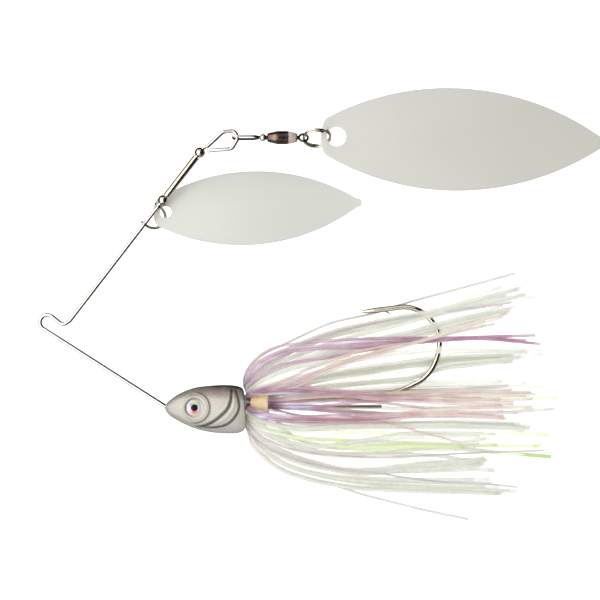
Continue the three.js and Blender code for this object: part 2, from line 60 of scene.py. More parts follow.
camera_data = bpy.data.cameras.new("camera")
camera_data.sensor_width = SENSOR_MM
camera_data.lens = LENS_MM
camera = bpy.data.objects.new("camera", camera_data)
camera.location = CAMERA_AT
scene.collection.objects.link(camera)
scene.camera = camera
scene.view_settings.view_transform = "Standard"
scene.cycles.transparent_max_bounces = 64


# --- material helpers
def rgb(red, green, blue):
    """A screen colour, 0 to 255 each, as the linear colour that Blender uses."""
    def linear(value):
        value /= 255
        return value / 12.92 if value <= 0.04045 else ((value + 0.055) / 1.055) ** 2.4
    return (linear(red), linear(green), linear(blue), 1)


def plug(tree, socket, value):
    if isinstance(value, bpy.types.NodeSocket):
        tree.links.new(value, socket)
    else:
        socket.default_value = value


def node(tree, kind, inputs=None, **settings):
    made = tree.nodes.new(kind)
    for key, value in settings.items():
        setattr(made, key, value)
    for key, value in (inputs or {}).items():
        plug(tree, made.inputs[key], value)
    return made


def coordinates(tree, source="Object", scale=(1, 1, 1), shift=(0, 0, 0)):
    place = node(tree, "ShaderNodeTexCoord").outputs[source]
    mapped = node(tree, "ShaderNodeMapping", {"Vector": place, "Scale": scale, "Location": shift})
    return mapped.outputs["Vector"]


def noise(tree, size, detail=3, source="Object", stretch=(1, 1, 1)):
    """Noise whose blotches are about size mm across, or shares of the length for UV."""
    unit = MM if source == "Object" else 1
    scale = tuple(s / (size * unit) for s in stretch)
    where = coordinates(tree, source, scale)
    inputs = {"Vector": where, "Scale": 1, "Detail": detail}
    return node(tree, "ShaderNodeTexNoise", inputs).outputs["Fac"]


def spread(tree, value, low, high, from_low=0.3, from_high=0.7):
    inputs = {"Value": value, "From Min": from_low, "From Max": from_high, "To Min": low, "To Max": high}
    return node(tree, "ShaderNodeMapRange", inputs).outputs["Result"]


def ramp(tree, value, stops, smooth="LINEAR"):
    made = node(tree, "ShaderNodeValToRGB", {"Fac": value})
    band = made.color_ramp
    band.interpolation = smooth
    while len(band.elements) < len(stops):
        band.elements.new(0.5)
    for element, (place, colour) in zip(band.elements, stops):
        element.position = place
        element.color = colour
    return made.outputs["Color"]


def mixed(tree, share, first, second, blend="MIX"):
    inputs = {"Fac": share, "Color1": first, "Color2": second}
    return node(tree, "ShaderNodeMixRGB", inputs, blend_type=blend).outputs["Color"]


def maths(tree, operation, first, second=0.0):
    made = node(tree, "ShaderNodeMath", operation=operation)
    plug(tree, made.inputs[0], first)
    plug(tree, made.inputs[1], second)
    return made.outputs["Value"]


def bump(tree, height, depth):
    inputs = {"Height": height, "Distance": depth * MM, "Strength": 1}
    return node(tree, "ShaderNodeBump", inputs).outputs["Normal"]


def axis(tree, name, source="Object"):
    """One coordinate in mm; for UV it is X round a strand or Y along it, from 0 to 1."""
    value = node(tree, "ShaderNodeSeparateXYZ", {"Vector": coordinates(tree, source)}).outputs[name]
    return maths(tree, "DIVIDE", value, MM) if source == "Object" else value


def attribute(tree, name):
    return node(tree, "ShaderNodeAttribute", attribute_name=name).outputs["Fac"]


def dress(tree, base, **inputs):
    """Sets inputs of the Principled shader, Base_Color for one, to values or to the outputs of nodes."""
    for key, value in inputs.items():
        plug(tree, base.inputs[key.replace("_", " ")], value)


def material(name, **inputs):
    made = bpy.data.materials.new(name)
    made.use_nodes = True
    tree = made.node_tree
    base = tree.nodes["Principled BSDF"]
    dress(tree, base, **inputs)
    return made, tree, base


def metal(name, colour, tint, roughness, grain, scratch=0.02):
    """Bright metal: blotches of a second tint, uneven polish and fine drawn lines."""
    made, tree, base = material(name, Metallic=1.0)
    patches = spread(tree, noise(tree, METAL_BLOTCH, 5), 0, 1)
    fine = noise(tree, grain, 4)
    dress(tree, base, Base_Color=mixed(tree, patches, colour, tint),
          Roughness=spread(tree, fine, roughness * 0.6, roughness * 1.5), Normal=bump(tree, fine, scratch))
    return made


# --- materials
BLACK = (0, 0, 0, 1)
WHITE_LIGHT = (1, 1, 1, 1)
EDGE_SHADE_SHARE = (0.3, 0.3, 0.3, 1)
METAL_BLOTCH = 3.0
SILICONE_PAINTED_GLOW = 0.17
PRINT_R = 2.0  # the printed disc of the eye, mm
IRIS_RAYS = 44.0


def make_head_paint():
    """Pearl paint, dark on the back, with painted shade at the nose, in the grooves and round the eye."""
    made, tree, base = material("head_paint_pearl", Metallic=0.08, Coat_Weight=0.08, Coat_Roughness=0.2)
    along = axis(tree, "X")
    lower = spread(tree, along, -0.1, 0, -35, -25)
    wobble = maths(tree, "ADD", lower, spread(tree, noise(tree, 1.6, 4), -0.02, 0.02))
    back = ramp(tree, maths(tree, "ADD", attribute(tree, "rise"), wobble), [
        (0.0, rgb(158, 156, 148)), (0.12, rgb(172, 169, 160)), (0.5, rgb(188, 184, 173)),
        (0.7, rgb(182, 176, 165)), (0.8, rgb(144, 135, 124)), (0.9, rgb(108, 98, 90)),
        (0.95, rgb(84, 74, 68)), (0.97, rgb(14, 12, 11)),
    ])
    flake = spread(tree, noise(tree, 0.07, 2), 0, 0.2, 0.45, 0.75)
    body = mixed(tree, flake, back, rgb(232, 230, 224))
    # painted shade: the nose is darkened towards grey, where it turns from the light
    body = mixed(tree, spread(tree, along, 0.4, 0, -38, -33), body, rgb(140, 138, 130))
    # painted shade: the grooves and the eye's rims darken towards brown, as shade falls in them
    dress(tree, base, Base_Color=mixed(tree, attribute(tree, "painted_groove_shade"), body, rgb(58, 48, 42)),
          Roughness=spread(tree, noise(tree, 0.5, 4), 0.2, 0.34),
          Normal=bump(tree, noise(tree, 1.1, 3), 0.02))
    return made


def make_pearl(name, length, start, heel, tip):
    """Powder pearl on a stamped blade: a slow drift of painted shade from heel to tip, fine flake and
    orange peel.
    """
    made, tree, base = material(name, Coat_Weight=0.35, Coat_Roughness=0.2)
    share = spread(tree, axis(tree, "X"), 0, 1, start, start + length)
    drift = maths(tree, "ADD", share, spread(tree, noise(tree, 14, 2), -0.12, 0.12))
    # painted shade: heel and tip colours make one end of the blade lighter than the other
    shade = ramp(tree, drift, [(0, heel), (1, tip)])
    flake = spread(tree, noise(tree, 0.12, 2), 0, 0.12, 0.5, 0.8)
    dress(tree, base, Base_Color=mixed(tree, flake, shade, rgb(220, 220, 214)),
          Roughness=spread(tree, noise(tree, 0.6, 3), 0.36, 0.5),
          Normal=bump(tree, noise(tree, 0.5, 3), 0.012))
    return made


def make_eye_foil():
    """Printed foil: black pupil, a ray-cut iris that changes hue round the clock, and a white rim."""
    made, tree, base = material("eye_foil_print", Coat_Weight=0.12, Coat_Roughness=0.03, Roughness=0.3,
                                Specular_IOR_Level=0.15)
    centre = (-EYE_PLACE[0] * MM, -EYE_PLACE[1] * MM, 0)
    where = node(tree, "ShaderNodeSeparateXYZ", {"Vector": coordinates(tree, shift=centre)}).outputs
    flat = node(tree, "ShaderNodeCombineXYZ", {"X": where["X"], "Y": where["Y"]}).outputs["Vector"]
    out = node(tree, "ShaderNodeVectorMath", {0: flat}, operation="LENGTH").outputs["Value"]
    radius = maths(tree, "DIVIDE", out, PRINT_R * MM)
    clock = maths(tree, "ARCTAN2", where["Y"], where["X"])
    hue = ramp(tree, spread(tree, clock, 0, 1, -math.pi, math.pi), [
        (0.0, rgb(214, 220, 226)), (0.14, rgb(236, 160, 170)), (0.25, rgb(196, 30, 36)),
        (0.36, rgb(236, 160, 156)), (0.5, rgb(214, 224, 226)), (0.62, rgb(70, 184, 206)),
        (0.73, rgb(250, 206, 0)), (0.84, rgb(60, 168, 200)), (0.92, rgb(160, 160, 216)),
        (1.0, rgb(226, 230, 234)),
    ], "B_SPLINE")
    rays = maths(tree, "SINE", maths(tree, "MULTIPLY", clock, IRIS_RAYS))
    lit = mixed(tree, spread(tree, rays, 0, 0.12, -1, 1), hue, rgb(255, 255, 250))
    iris = mixed(tree, spread(tree, noise(tree, 0.12, 3), 0, 0.12), lit, rgb(120, 124, 130))
    rim = ramp(tree, radius, [(0.6, BLACK), (0.7, rgb(120, 120, 120)), (0.8, WHITE_LIGHT)])
    printed = mixed(tree, rim, iris, rgb(192, 193, 188))
    pupil = ramp(tree, radius, [(0.4, BLACK), (0.44, WHITE_LIGHT)])
    dress(tree, base, Base_Color=mixed(tree, pupil, rgb(4, 4, 5), printed),
          Metallic=maths(tree, "MULTIPLY", pupil, 0.2))
    return made


def make_rubber():
    made, tree, base = material("collar_rubber_tan", Roughness=0.6, Subsurface_Weight=0.2,
                                Subsurface_Scale=0.6 * MM)
    patches = spread(tree, noise(tree, 1.2, 4), 0, 1)
    dress(tree, base, Base_Color=mixed(tree, patches, rgb(231, 208, 168), rgb(219, 191, 148)),
          Normal=bump(tree, noise(tree, 0.25, 4), 0.03))
    return made


def make_silicone(name, painted_root_shadow, root, middle, tip, cover, end=None, end_from=0.985, painted_glints=0):
    """Skirt silicone: colour drifts root to tip; pale streaks; painted glow, highlights, root shadow and
    edge shade.
    """
    made, tree, base = material(name, Roughness=0.3, Coat_Weight=0.3, Coat_Roughness=0.15)
    along, across = axis(tree, "Y", "UV"), axis(tree, "X", "UV")
    drift = maths(tree, "ADD", along, spread(tree, noise(tree, 6.0, 3), -0.16, 0.16))
    body = ramp(tree, drift, [(0.12, rgb(*root)), (0.5, rgb(*middle)), (0.85, rgb(*tip))])
    streak = spread(tree, noise(tree, 2.2, 2, stretch=(0.25, 1.4, 1.4)), 0, 0.3, 0.4, 0.7)
    body = mixed(tree, streak, body, rgb(240, 238, 236))
    # painted highlights: cool bluish spots of light painted into the colour near the root
    if painted_glints:
        shine = spread(tree, noise(tree, 1.5, 2, stretch=(0.3, 1.2, 1.2)), 0, painted_glints, 0.46, 0.62)
        near = ramp(tree, along, [(0.03, BLACK), (0.09, WHITE_LIGHT), (0.15, WHITE_LIGHT), (0.24, BLACK)])
        body = mixed(tree, maths(tree, "MULTIPLY", shine, near), body, rgb(214, 216, 238))
    # painted shadow: the root, where the strand leaves the collar, darkens to its shadow colour
    root_shadow_share = ramp(tree, along, [(0.02, WHITE_LIGHT), (0.075, BLACK)])
    body = mixed(tree, root_shadow_share, body, rgb(*painted_root_shadow))
    # painted shade: both edges of each strand darken towards grey-brown
    rim = ramp(tree, across, [(0.1, EDGE_SHADE_SHARE), (0.19, BLACK), (0.41, BLACK), (0.5, EDGE_SHADE_SHARE), (0.6, EDGE_SHADE_SHARE),
                              (0.69, BLACK), (0.91, BLACK), (1.0, EDGE_SHADE_SHARE)])
    body = mixed(tree, rim, body, rgb(128, 122, 116))
    if end:
        share = ramp(tree, along, [(end_from - 0.03, BLACK), (end_from, WHITE_LIGHT)])
        body = mixed(tree, share, body, rgb(*end))
    # painted glow: the strand gives off light in its own colour, to lighten it as light through silicone
    # would
    dress(tree, base, Base_Color=body, Emission_Color=body, Emission_Strength=SILICONE_PAINTED_GLOW,
          Alpha=spread(tree, noise(tree, 2.2, 2), cover - 0.06, cover + 0.05),
          Normal=bump(tree, noise(tree, 0.5, 2), 0.006))
    return made


def make_barrel_finish():
    """Blackened brass, banded with painted reflection; the pale band behind the middle is a painted
    highlight.
    """
    made, tree, base = material("black_nickel_barrel")
    place = spread(tree, axis(tree, "X"), 0, 1, -13.8, -6.4)
    wobble = spread(tree, noise(tree, 0.5, 4), -0.02, 0.02)
    # painted reflection: light and dark bands along the barrel, over its dark finish
    finish_and_painted_bands = ramp(tree, maths(tree, "ADD", place, wobble), [
        (0.0, rgb(40, 34, 31)), (0.08, rgb(92, 76, 68)), (0.25, rgb(136, 116, 104)),
        (0.34, rgb(84, 68, 61)), (0.5, rgb(72, 58, 53)), (0.66, rgb(88, 72, 65)), (0.69, rgb(30, 25, 23)),
        (0.72, rgb(210, 192, 180)), (0.92, rgb(192, 174, 162)), (0.97, rgb(84, 72, 66)),
        (1.0, rgb(50, 43, 39)),
    ])
    speck = spread(tree, noise(tree, 0.22, 4), 0, 0.6, 0.52, 0.66)
    dress(tree, base, Base_Color=mixed(tree, speck, finish_and_painted_bands, rgb(58, 47, 42)),
          # painted highlight: the pale band is less metallic, so that its colour shows
          Metallic=spread(tree, place, 0.9, 0.2, 0.6, 0.72),
          Roughness=spread(tree, noise(tree, 0.3, 4), 0.1, 0.24),
          Normal=bump(tree, noise(tree, 0.35, 3), 0.02))
    return made


STEEL = metal("stainless_wire_drawn", rgb(236, 232, 226), rgb(222, 215, 206), 0.07, 0.3, scratch=0.006)
RING_STEEL = metal("split_ring_steel", rgb(228, 222, 208), rgb(202, 190, 172), 0.07, 0.3, scratch=0.006)
NICKEL = metal("nickel_plate", rgb(220, 211, 198), rgb(188, 172, 156), 0.07, 0.4, scratch=0.01)
HOOK_METAL = metal("hook_bronzed_steel", rgb(234, 225, 209), rgb(208, 195, 174), 0.07, 0.4, scratch=0.008)
BLACK_NICKEL = make_barrel_finish()
# Dark steel for the rear eye and neck, and painted shade on the front eye's loop
DARK_STEEL_AND_SLOT_SHADE = metal("dark_steel_and_slot_shade", rgb(70, 62, 58), rgb(40, 36, 34), 0.14, 0.3)
BALL = metal("swivel_sleeve_bright", rgb(238, 236, 232), rgb(214, 210, 206), 0.12, 0.2)
HEAD_PAINT = make_head_paint()
# Both blades wear one pearl; their heel and tip colours are painted shade, the rear blade darker towards
# its tip
PEARL_FRONT = make_pearl("pearl_front_blade", 50.8, -41.5, rgb(197, 198, 190), rgb(199, 200, 192))
PEARL_REAR = make_pearl("pearl_rear_blade", 69.9, -0.8, rgb(194, 194, 187), rgb(188, 187, 178))
EYE_FOIL = make_eye_foil()
RUBBER = make_rubber()
# Screen colours of a strand's painted root shadow, its root, middle and tip; its cover; its cut end's
# colour.
ARCH = make_silicone("silicone_arch_purple", (128, 84, 120), (192, 160, 182), (178, 134, 162),
                     (170, 118, 148), 0.6, (186, 160, 176), painted_glints=0.2)
ROSE = make_silicone("silicone_rose", (84, 34, 70), (156, 106, 136), (188, 150, 156),
                     (218, 202, 194), 0.6, (204, 194, 188), painted_glints=0.8)
PINK_GREY = make_silicone("silicone_pink_grey", (140, 110, 130), (184, 164, 172), (176, 162, 166),
                          (186, 178, 180), 0.8)
PEACH = make_silicone("silicone_peach", (150, 110, 130), (200, 176, 176), (212, 194, 182),
                      (220, 211, 201), 0.6, (206, 200, 196))
WHITE = make_silicone("silicone_white", (172, 168, 160), (216, 216, 206), (216, 218, 206),
                      (217, 219, 209), 0.48, (204, 206, 196))
STRAY = make_silicone("silicone_stray", (160, 154, 150), (206, 203, 198), (200, 198, 190),
                      (198, 198, 190), 0.92)
LIME = make_silicone("silicone_chartreuse", (180, 186, 150), (218, 222, 206), (216, 230, 168),
                     (218, 229, 190), 0.5, (204, 216, 156))
GREEN_TIP = make_silicone("silicone_green_tip", (180, 186, 150), (218, 222, 208), (216, 228, 188),
                          (212, 226, 178), 0.58, (154, 192, 92), 0.92)


# --- mesh helpers
def merged(*shapes):
    points, faces, uvs = [], [], []
    for shape in shapes:
        base = len(points)
        points.extend(shape[0])
        faces.extend(tuple(i + base for i in face) for face in shape[1])
        uvs.extend(shape[2] if len(shape) > 2 else [(0, 0)] * len(shape[0]))
    return points, faces, uvs


def placed(shape, matrix):
    return ([matrix @ Vector(p) for p in shape[0]], *shape[1:])


def new_object(name, points, faces, *materials):
    mesh = bpy.data.meshes.new(name)
    mesh.from_pydata(points, [], faces)
    for paint in materials:
        mesh.materials.append(paint)
    made = bpy.data.objects.new(name, mesh)
    scene.collection.objects.link(made)
    return made


def add_piece(name, shape, materials, body, nodes=(), sharp=35, pick=None):
    """The mesh in metres with its body and CAD nodes; pick(centre) chooses a face's material."""
    made = new_object(name, [Vector(p) * MM for p in shape[0]], shape[1], *materials)
    mesh = made.data
    for polygon in mesh.polygons:
        polygon.use_smooth = True
        if pick:
            polygon.material_index = pick(polygon.center / MM)
    mesh.set_sharp_from_angle(angle=math.radians(sharp))
    if len(shape) > 2:
        layer = mesh.uv_layers.new(name="along")
        for loop in mesh.loops:
            layer.data[loop.index].uv = shape[2][loop.vertex_index]
    mesh.validate()
    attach(made, body)
    if nodes:
        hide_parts(*nodes)
    return made


def smooth(points, count):
    """Centripetal Catmull-Rom curve through the points, resampled to even steps."""
    rows = np.array(points, float)
    rows = np.vstack([2 * rows[0] - rows[1], rows, 2 * rows[-1] - rows[-2]])
    out = []
    for i in range(1, len(rows) - 2):
        four = rows[i - 1:i + 3]
        gaps = [max(np.linalg.norm(four[k + 1] - four[k]), 1e-6) ** 0.5 for k in range(3)]
        t0, t1, t2, t3 = np.cumsum([0] + gaps)
        for t in np.linspace(t1, t2, 12, endpoint=False):
            a1 = four[0] * (t1 - t) / (t1 - t0) + four[1] * (t - t0) / (t1 - t0)
            a2 = four[1] * (t2 - t) / (t2 - t1) + four[2] * (t - t1) / (t2 - t1)
            a3 = four[2] * (t3 - t) / (t3 - t2) + four[3] * (t - t2) / (t3 - t2)
            b1 = a1 * (t2 - t) / (t2 - t0) + a2 * (t - t0) / (t2 - t0)
            b2 = a2 * (t3 - t) / (t3 - t1) + a3 * (t - t1) / (t3 - t1)
            out.append(b1 * (t2 - t) / (t2 - t1) + b2 * (t - t1) / (t2 - t1))
    out.append(rows[-2])
    return even(np.array(out), count)


def even(rows, count):
    steps = np.linalg.norm(np.diff(rows, axis=0), axis=1)
    at = np.concatenate([[0], np.cumsum(steps)])
    wanted = np.linspace(0, at[-1], count)
    return np.array([np.interp(wanted, at, rows[:, k]) for k in range(rows.shape[1])]).T


def circle(radius, sides):
    angles = [2 * math.pi * k / sides for k in range(sides)]
    return [(radius * math.cos(a), radius * math.sin(a)) for a in angles]


def tube_faces(rows, sides):
    """The faces of a skin over closed rings, with a flat cap at each end."""
    faces = []
    for i in range(rows - 1):
        for k in range(sides):
            a, b = i * sides + k, i * sides + (k + 1) % sides
            faces.append((a, b, b + sides, a + sides))
    faces.append(tuple(range(sides - 1, -1, -1)))
    faces.append(tuple((rows - 1) * sides + k for k in range(sides)))
    return faces


def sweep(path, ring, sizes=None, turns=None, closed=False):
    """A skin of the ring of (side, up) offsets carried along the path, with its own scale and twist."""
    rows = [Vector(p) for p in path]
    count, sides = len(rows), len(ring)
    points, uvs = [], []
    up = Vector((0, 0, 1))
    for i, spot in enumerate(rows):
        before = rows[i - 1] if i or closed else spot
        after = rows[(i + 1) % count] if i < count - 1 or closed else spot
        heading = (after - before).normalized()
        side = heading.cross(up).normalized()
        lift = side.cross(heading)
        if turns is None:
            up = lift
        roll = turns[i] if turns is not None else 0
        size = sizes[i] if sizes is not None else 1
        for k, (a, b) in enumerate(ring):
            across = (a * math.cos(roll) - b * math.sin(roll)) * size
            above = (a * math.sin(roll) + b * math.cos(roll)) * size
            points.append(spot + side * across + lift * above)
            uvs.append((k / sides, i / (count - 1)))
    faces = tube_faces(count, sides)
    if closed:
        last = (count - 1) * sides
        faces[-2:] = [(last + k, last + (k + 1) % sides, (k + 1) % sides, k) for k in range(sides)]
    return points, faces, uvs


def capped(path, radius, steps=4):
    """The path with rounded ends added, and the scale at each of its points."""
    rows = [np.array(p, float) for p in path]

    def cap(tip, inner):
        out = (tip - inner) / np.linalg.norm(tip - inner)
        angles = [math.pi / 2 * k / steps for k in range(1, steps + 1)]
        return [(tip + out * radius * math.sin(a), max(math.cos(a), 0.03)) for a in angles]

    whole = cap(rows[0], rows[1])[::-1] + [(spot, 1.0) for spot in rows] + cap(rows[-1], rows[-2])
    return [spot for spot, size in whole], [size for spot, size in whole]


def turned(profile, sides=48):
    """A turned shape about +X from (x, radius) rows; a radius of zero at an end closes on the axis."""
    loop = profile[0] == profile[-1]
    rows = profile[:-1] if loop else profile
    points, faces, starts = [], [], []
    for x, radius in rows:
        starts.append(len(points))
        if radius == 0:
            points.append((x, 0, 0))
        else:
            points.extend((x, y, z) for y, z in circle(radius, sides))
    last = len(rows) if loop else len(rows) - 1
    for i in range(last):
        j = (i + 1) % len(rows)
        for k in range(sides):
            n = (k + 1) % sides
            if rows[i][1] == 0:
                faces.append((starts[i], starts[j] + n, starts[j] + k))
            elif rows[j][1] == 0:
                faces.append((starts[i] + k, starts[i] + n, starts[j]))
            else:
                faces.append((starts[i] + k, starts[i] + n, starts[j] + n, starts[j] + k))
    return points, faces


def rounded(corners, radius, steps=4):
    """A profile with each of its inner corners eased by an arc of about this radius."""
    rows = [np.array(c, float) for c in corners]
    out = [tuple(rows[0])]
    for i in range(1, len(rows) - 1):
        back, ahead = rows[i - 1] - rows[i], rows[i + 1] - rows[i]
        reach = min(radius, np.linalg.norm(back) * 0.45, np.linalg.norm(ahead) * 0.45)
        a = rows[i] + back / np.linalg.norm(back) * reach
        b = rows[i] + ahead / np.linalg.norm(ahead) * reach
        for k in range(steps + 1):
            t = k / steps
            out.append(tuple((1 - t) ** 2 * a + 2 * t * (1 - t) * rows[i] + t ** 2 * b))
    out.append(tuple(rows[-1]))
    return out


def bent(corners, steps=14):
    """Straight runs joined by arcs; corners are (x, y, radius), and the two ends have no radius."""
    spots = [Vector((c[0], c[1], MID_Z)) for c in corners]
    out = [spots[0]]
    for i in range(1, len(corners) - 1):
        back = (spots[i - 1] - spots[i]).normalized()
        ahead = (spots[i + 1] - spots[i]).normalized()
        half = back.angle(ahead) / 2
        radius = corners[i][2]
        middle = (back + ahead).normalized()
        centre = spots[i] + middle * (radius / math.sin(half))
        start = spots[i] + back * (radius / math.tan(half)) - centre
        side = -middle
        across = (start - side * start.dot(side)).normalized()
        for k in range(steps + 1):
            swing = (math.pi / 2 - half) * (2 * k / steps - 1)
            out.append(centre + (side * math.cos(swing) - across * math.sin(swing)) * radius)
    out.append(spots[-1])
    return out


ARM = Matrix.Translation((*ARM_START, MID_Z)) @ Matrix.Rotation(ARM_ANGLE, 4, "Z")
CHAIN = Matrix.Translation((*CHAIN_START, MID_Z)) @ Matrix.Rotation(CHAIN_SLOPE, 4, "Y")

# --- wire frame
ARM_LENGTH = 53.0
ARM_END = (ARM_START[0] + ARM_LENGTH * math.cos(ARM_ANGLE), ARM_START[1] + ARM_LENGTH * math.sin(ARM_ANGLE))
# From the loose end of the blade loop to the tail: x, y and the radius of the bend there.
WIRE_CORNERS = [
    (-28.2, 37.4), (-22.3, 37.85, 1.3), (-20.95, 40.2, 1.2), (-21.45, 42.25, 1.25), (-24.4, 42.0, 2.2),
    (-28.1, 38.55, 0.9), (*ARM_END, 0.9), (*ARM_START, 1.5), (-63.25, -4.9, 1.25), (-67.38, -1.63, 1.8),
    (-69.6, -4.71, 1.8), (-38.29, -24.66, 3), (-34.4, -27.1, 1.6), (-26.2, -27.1, 1.6),
    (-22.6, -24.75, 2.5), (13.8, -24.6),
]
wire_path, wire_sizes = capped([tuple(p) for p in bent(WIRE_CORNERS)], WIRE_R * 0.6)
add_piece("wire_form", sweep(wire_path, circle(WIRE_R, 20), wire_sizes), [STEEL], "frame",
          ["wire_frame"])

# --- hook
HOOK_Y = -23.25
HOOK_EYE_X = -28.6
HOOK_EYE_R = 1.55
HOOK_POINTS = [
    (-27.05, HOOK_Y), (-20, HOOK_Y), (-12, HOOK_Y), (0, -22.8), (11.9, -22.1), (17.1, -21.2),
    (21.3, -19.5), (24.2, -17.8), (26.6, -14.8), (28, -10), (27.4, -5.8), (24.2, -2), (20.3, -0.55),
    (15.8, -0.9), (12.4, -1.3),
]
NEEDLE = 4.2
NEEDLE_STEPS = 12
BARB_ROOT = np.array((14.4, -1.25, MID_Z))
BARB_TIP = np.array((16.5, -2.35, MID_Z))
BARB_R = 0.26
hook_path = list(smooth([(x, y, MID_Z) for x, y in HOOK_POINTS], 150))
heading = (hook_path[-1] - hook_path[-2]) / np.linalg.norm(hook_path[-1] - hook_path[-2])
hook_sizes = [1.0] * len(hook_path)
hook_end = hook_path[-1]
for k in range(1, NEEDLE_STEPS + 1):
    share = k / NEEDLE_STEPS
    hook_path.append(hook_end + heading * NEEDLE * share)
    hook_sizes.append(max(0.08, (1 - share) ** 0.45))
shank = sweep(hook_path, circle(HOOK_R, 20), hook_sizes)
eye_ring = [(HOOK_EYE_X + x, HOOK_Y + y, MID_Z) for x, y in circle(HOOK_EYE_R, 40)]
hook_eye = sweep(eye_ring, circle(HOOK_R, 16), closed=True)
barb = sweep([BARB_ROOT + (BARB_TIP - BARB_ROOT) * t for t in (0, 0.25, 0.5, 0.75, 1)],
             circle(BARB_R, 10), [1, 0.85, 0.65, 0.4, 0.05])
add_piece("hook_form", merged(shank, hook_eye, barb), [HOOK_METAL], "frame", ["hook"])

# --- cast head
# Stations from nose to rear: x, top y, bottom y, half thickness.
HEAD_STATIONS = [
    (-38.5, -24.6, -25.2, 0.4), (-38.35, -24.2, -25.7, 0.85), (-37.6, -23.4, -26.7, 1.6),
    (-35.9, -22.1, -27.9, 2.35), (-33.4, -20.85, -29.2, 3.15), (-30.8, -20.0, -30.2, 3.75),
    (-27.5, -19.6, -30.9, 4.2), (-24.2, -19.4, -31.15, 4.4), (-21.2, -19.55, -31.05, 4.35),
    (-19.75, -20.0, -30.4, 4.0), (-19.3, -20.5, -29.7, 3.6), (-19.1, -21.5, -28.7, 2.9),
    (-19.0, -23.4, -27.2, 1.6),
]
HEAD_SQUARENESS = 2.25
HEAD_RAKE = 0.06
HEAD_SIDES = 200
HEAD_ROWS = 190
GILL_GROOVE = [
    (-22.36, -20.7), (-22.5, -22.7), (-23.3, -24.9), (-25.0, -26.7), (-26.7, -28.0), (-28.7, -28.9),
    (-30.4, -29.2), (-31.9, -29.2),
]
COVER_GROOVE = [
    (-21.4, -20.9), (-20.7, -23.2), (-20.6, -24.9), (-21.4, -26.7), (-22.8, -28.25), (-24.2, -29.0),
    (-26.2, -29.4), (-30.4, -29.6),
]
COVER_RIDGE = [
    (-21.9, -21.6), (-21.6, -23.2), (-22.0, -25.0), (-23.3, -26.8), (-24.9, -28.1), (-27.0, -29.0),
]
# Each line of the relief with its height and width, how fast it fades towards its end, and its least share.
RELIEF = [(GILL_GROOVE, -0.45, 0.36, 3, 0.1), (COVER_GROOVE, -0.42, 0.33, 3, 0.1),
          (COVER_RIDGE, 0.24, 0.5, 4, 0)]
relief_lines = [([tuple(p) for p in smooth(line, 40)], *rest) for line, *rest in RELIEF]
EYE_RIM_R = 2.35
SWIRL_R = 3.65


def distance_to(line, x, y):
    """Least distance from (x, y) to a run of straight pieces, and how far along it the foot is, 0 to 1."""
    best, share = 1e9, 0
    for i in range(len(line) - 1):
        (ax, ay), (bx, by) = line[i], line[i + 1]
        span = (bx - ax) ** 2 + (by - ay) ** 2
        t = min(1, max(0, ((x - ax) * (bx - ax) + (y - ay) * (by - ay)) / span))
        gap = math.hypot(x - ax - t * (bx - ax), y - ay - t * (by - ay))
        if gap < best:
            best, share = gap, (i + t) / (len(line) - 1)
    return best, share


def dip(gap, width):
    return math.exp(-((gap / width) ** 2))


def relief(x, y):
    """Height of the cast relief on a cheek: two grooves, the ridge between and the eye's rims."""
    height = 0
    for line, rise, width, fade, least in relief_lines:
        near, along = distance_to(line, x, y)
        height += rise * dip(near, width) * min(1, fade * (1 - along) + least)
    out = math.hypot(x - EYE_PLACE[0], y - EYE_PLACE[1])
    clock = math.degrees(math.atan2(y - EYE_PLACE[1], x - EYE_PLACE[0]))
    height += 0.16 * dip(out - EYE_RIM_R - 0.3, 0.3)
    height -= (0.22 + 0.1 * math.cos(math.radians(clock - 160))) * dip(out - EYE_RIM_R + 0.08, 0.19)
    if -115 < clock < 100:
        ends = min(1, (100 - clock) / 30, (clock + 115) / 30)
        height -= 0.27 * dip(out - SWIRL_R, 0.24) * ends
        height += 0.12 * dip(out - SWIRL_R + 0.5, 0.3) * ends
    return height


def head_shape():
    rows = smooth(HEAD_STATIONS, HEAD_ROWS)
    power = 2 / HEAD_SQUARENESS
    points, groove_shade_shares, rises = [], [], []
    for x, top, bottom, half in rows:
        middle, reach = (top + bottom) / 2, (top - bottom) / 2
        for k in range(HEAD_SIDES):
            angle = 2 * math.pi * k / HEAD_SIDES
            up, out = math.cos(angle), math.sin(angle)
            rise = reach * math.copysign(abs(up) ** power, up)
            depth = half * math.copysign(abs(out) ** power, out)
            spot = Vector((x - HEAD_RAKE * rise, middle + rise, depth))
            cheek = min(1, abs(out) * 1.3) ** 2
            height = relief(spot.x, spot.y) * cheek
            depth += math.copysign(height, depth)
            points.append((spot.x, spot.y, max(MID_Z + depth, 0.0)))
            rises.append((rise / reach + 1) / 2)
            # painted shade: the colour darkens in the grooves as deeply as the relief goes, for the shade
            # there
            deep = max(0, -relief(spot.x, spot.y) - 0.03)
            groove_shade_shares.append(min(1, deep / 0.24) * 0.92 * min(1, abs(out) * 4))
    return (points, tube_faces(HEAD_ROWS, HEAD_SIDES)), groove_shade_shares, rises


boss = placed(turned(rounded([(-20.4, 0), (-20.4, 1.9), (-13.9, 1.9), (-13.9, 0)], 0.4)),
              Matrix.Translation((0, AXIS_Y, MID_Z)))
casting, groove_shade_shares, rises = head_shape()
head = add_piece("head_casting", merged(casting, boss), [HEAD_PAINT], "frame",
                 ["lead_head"], 60)
for layer, values in (("painted_groove_shade", groove_shade_shares), ("rise", rises)):
    marks = head.data.attributes.new(layer, "FLOAT", "POINT")
    marks.data.foreach_set("value", values + [0.0] * (len(head.data.vertices) - len(values)))

EYE_R = 1.88
EYE_STAND = 3.1
EYE_LIFT = 0.72
EYE_DOME = 0.26


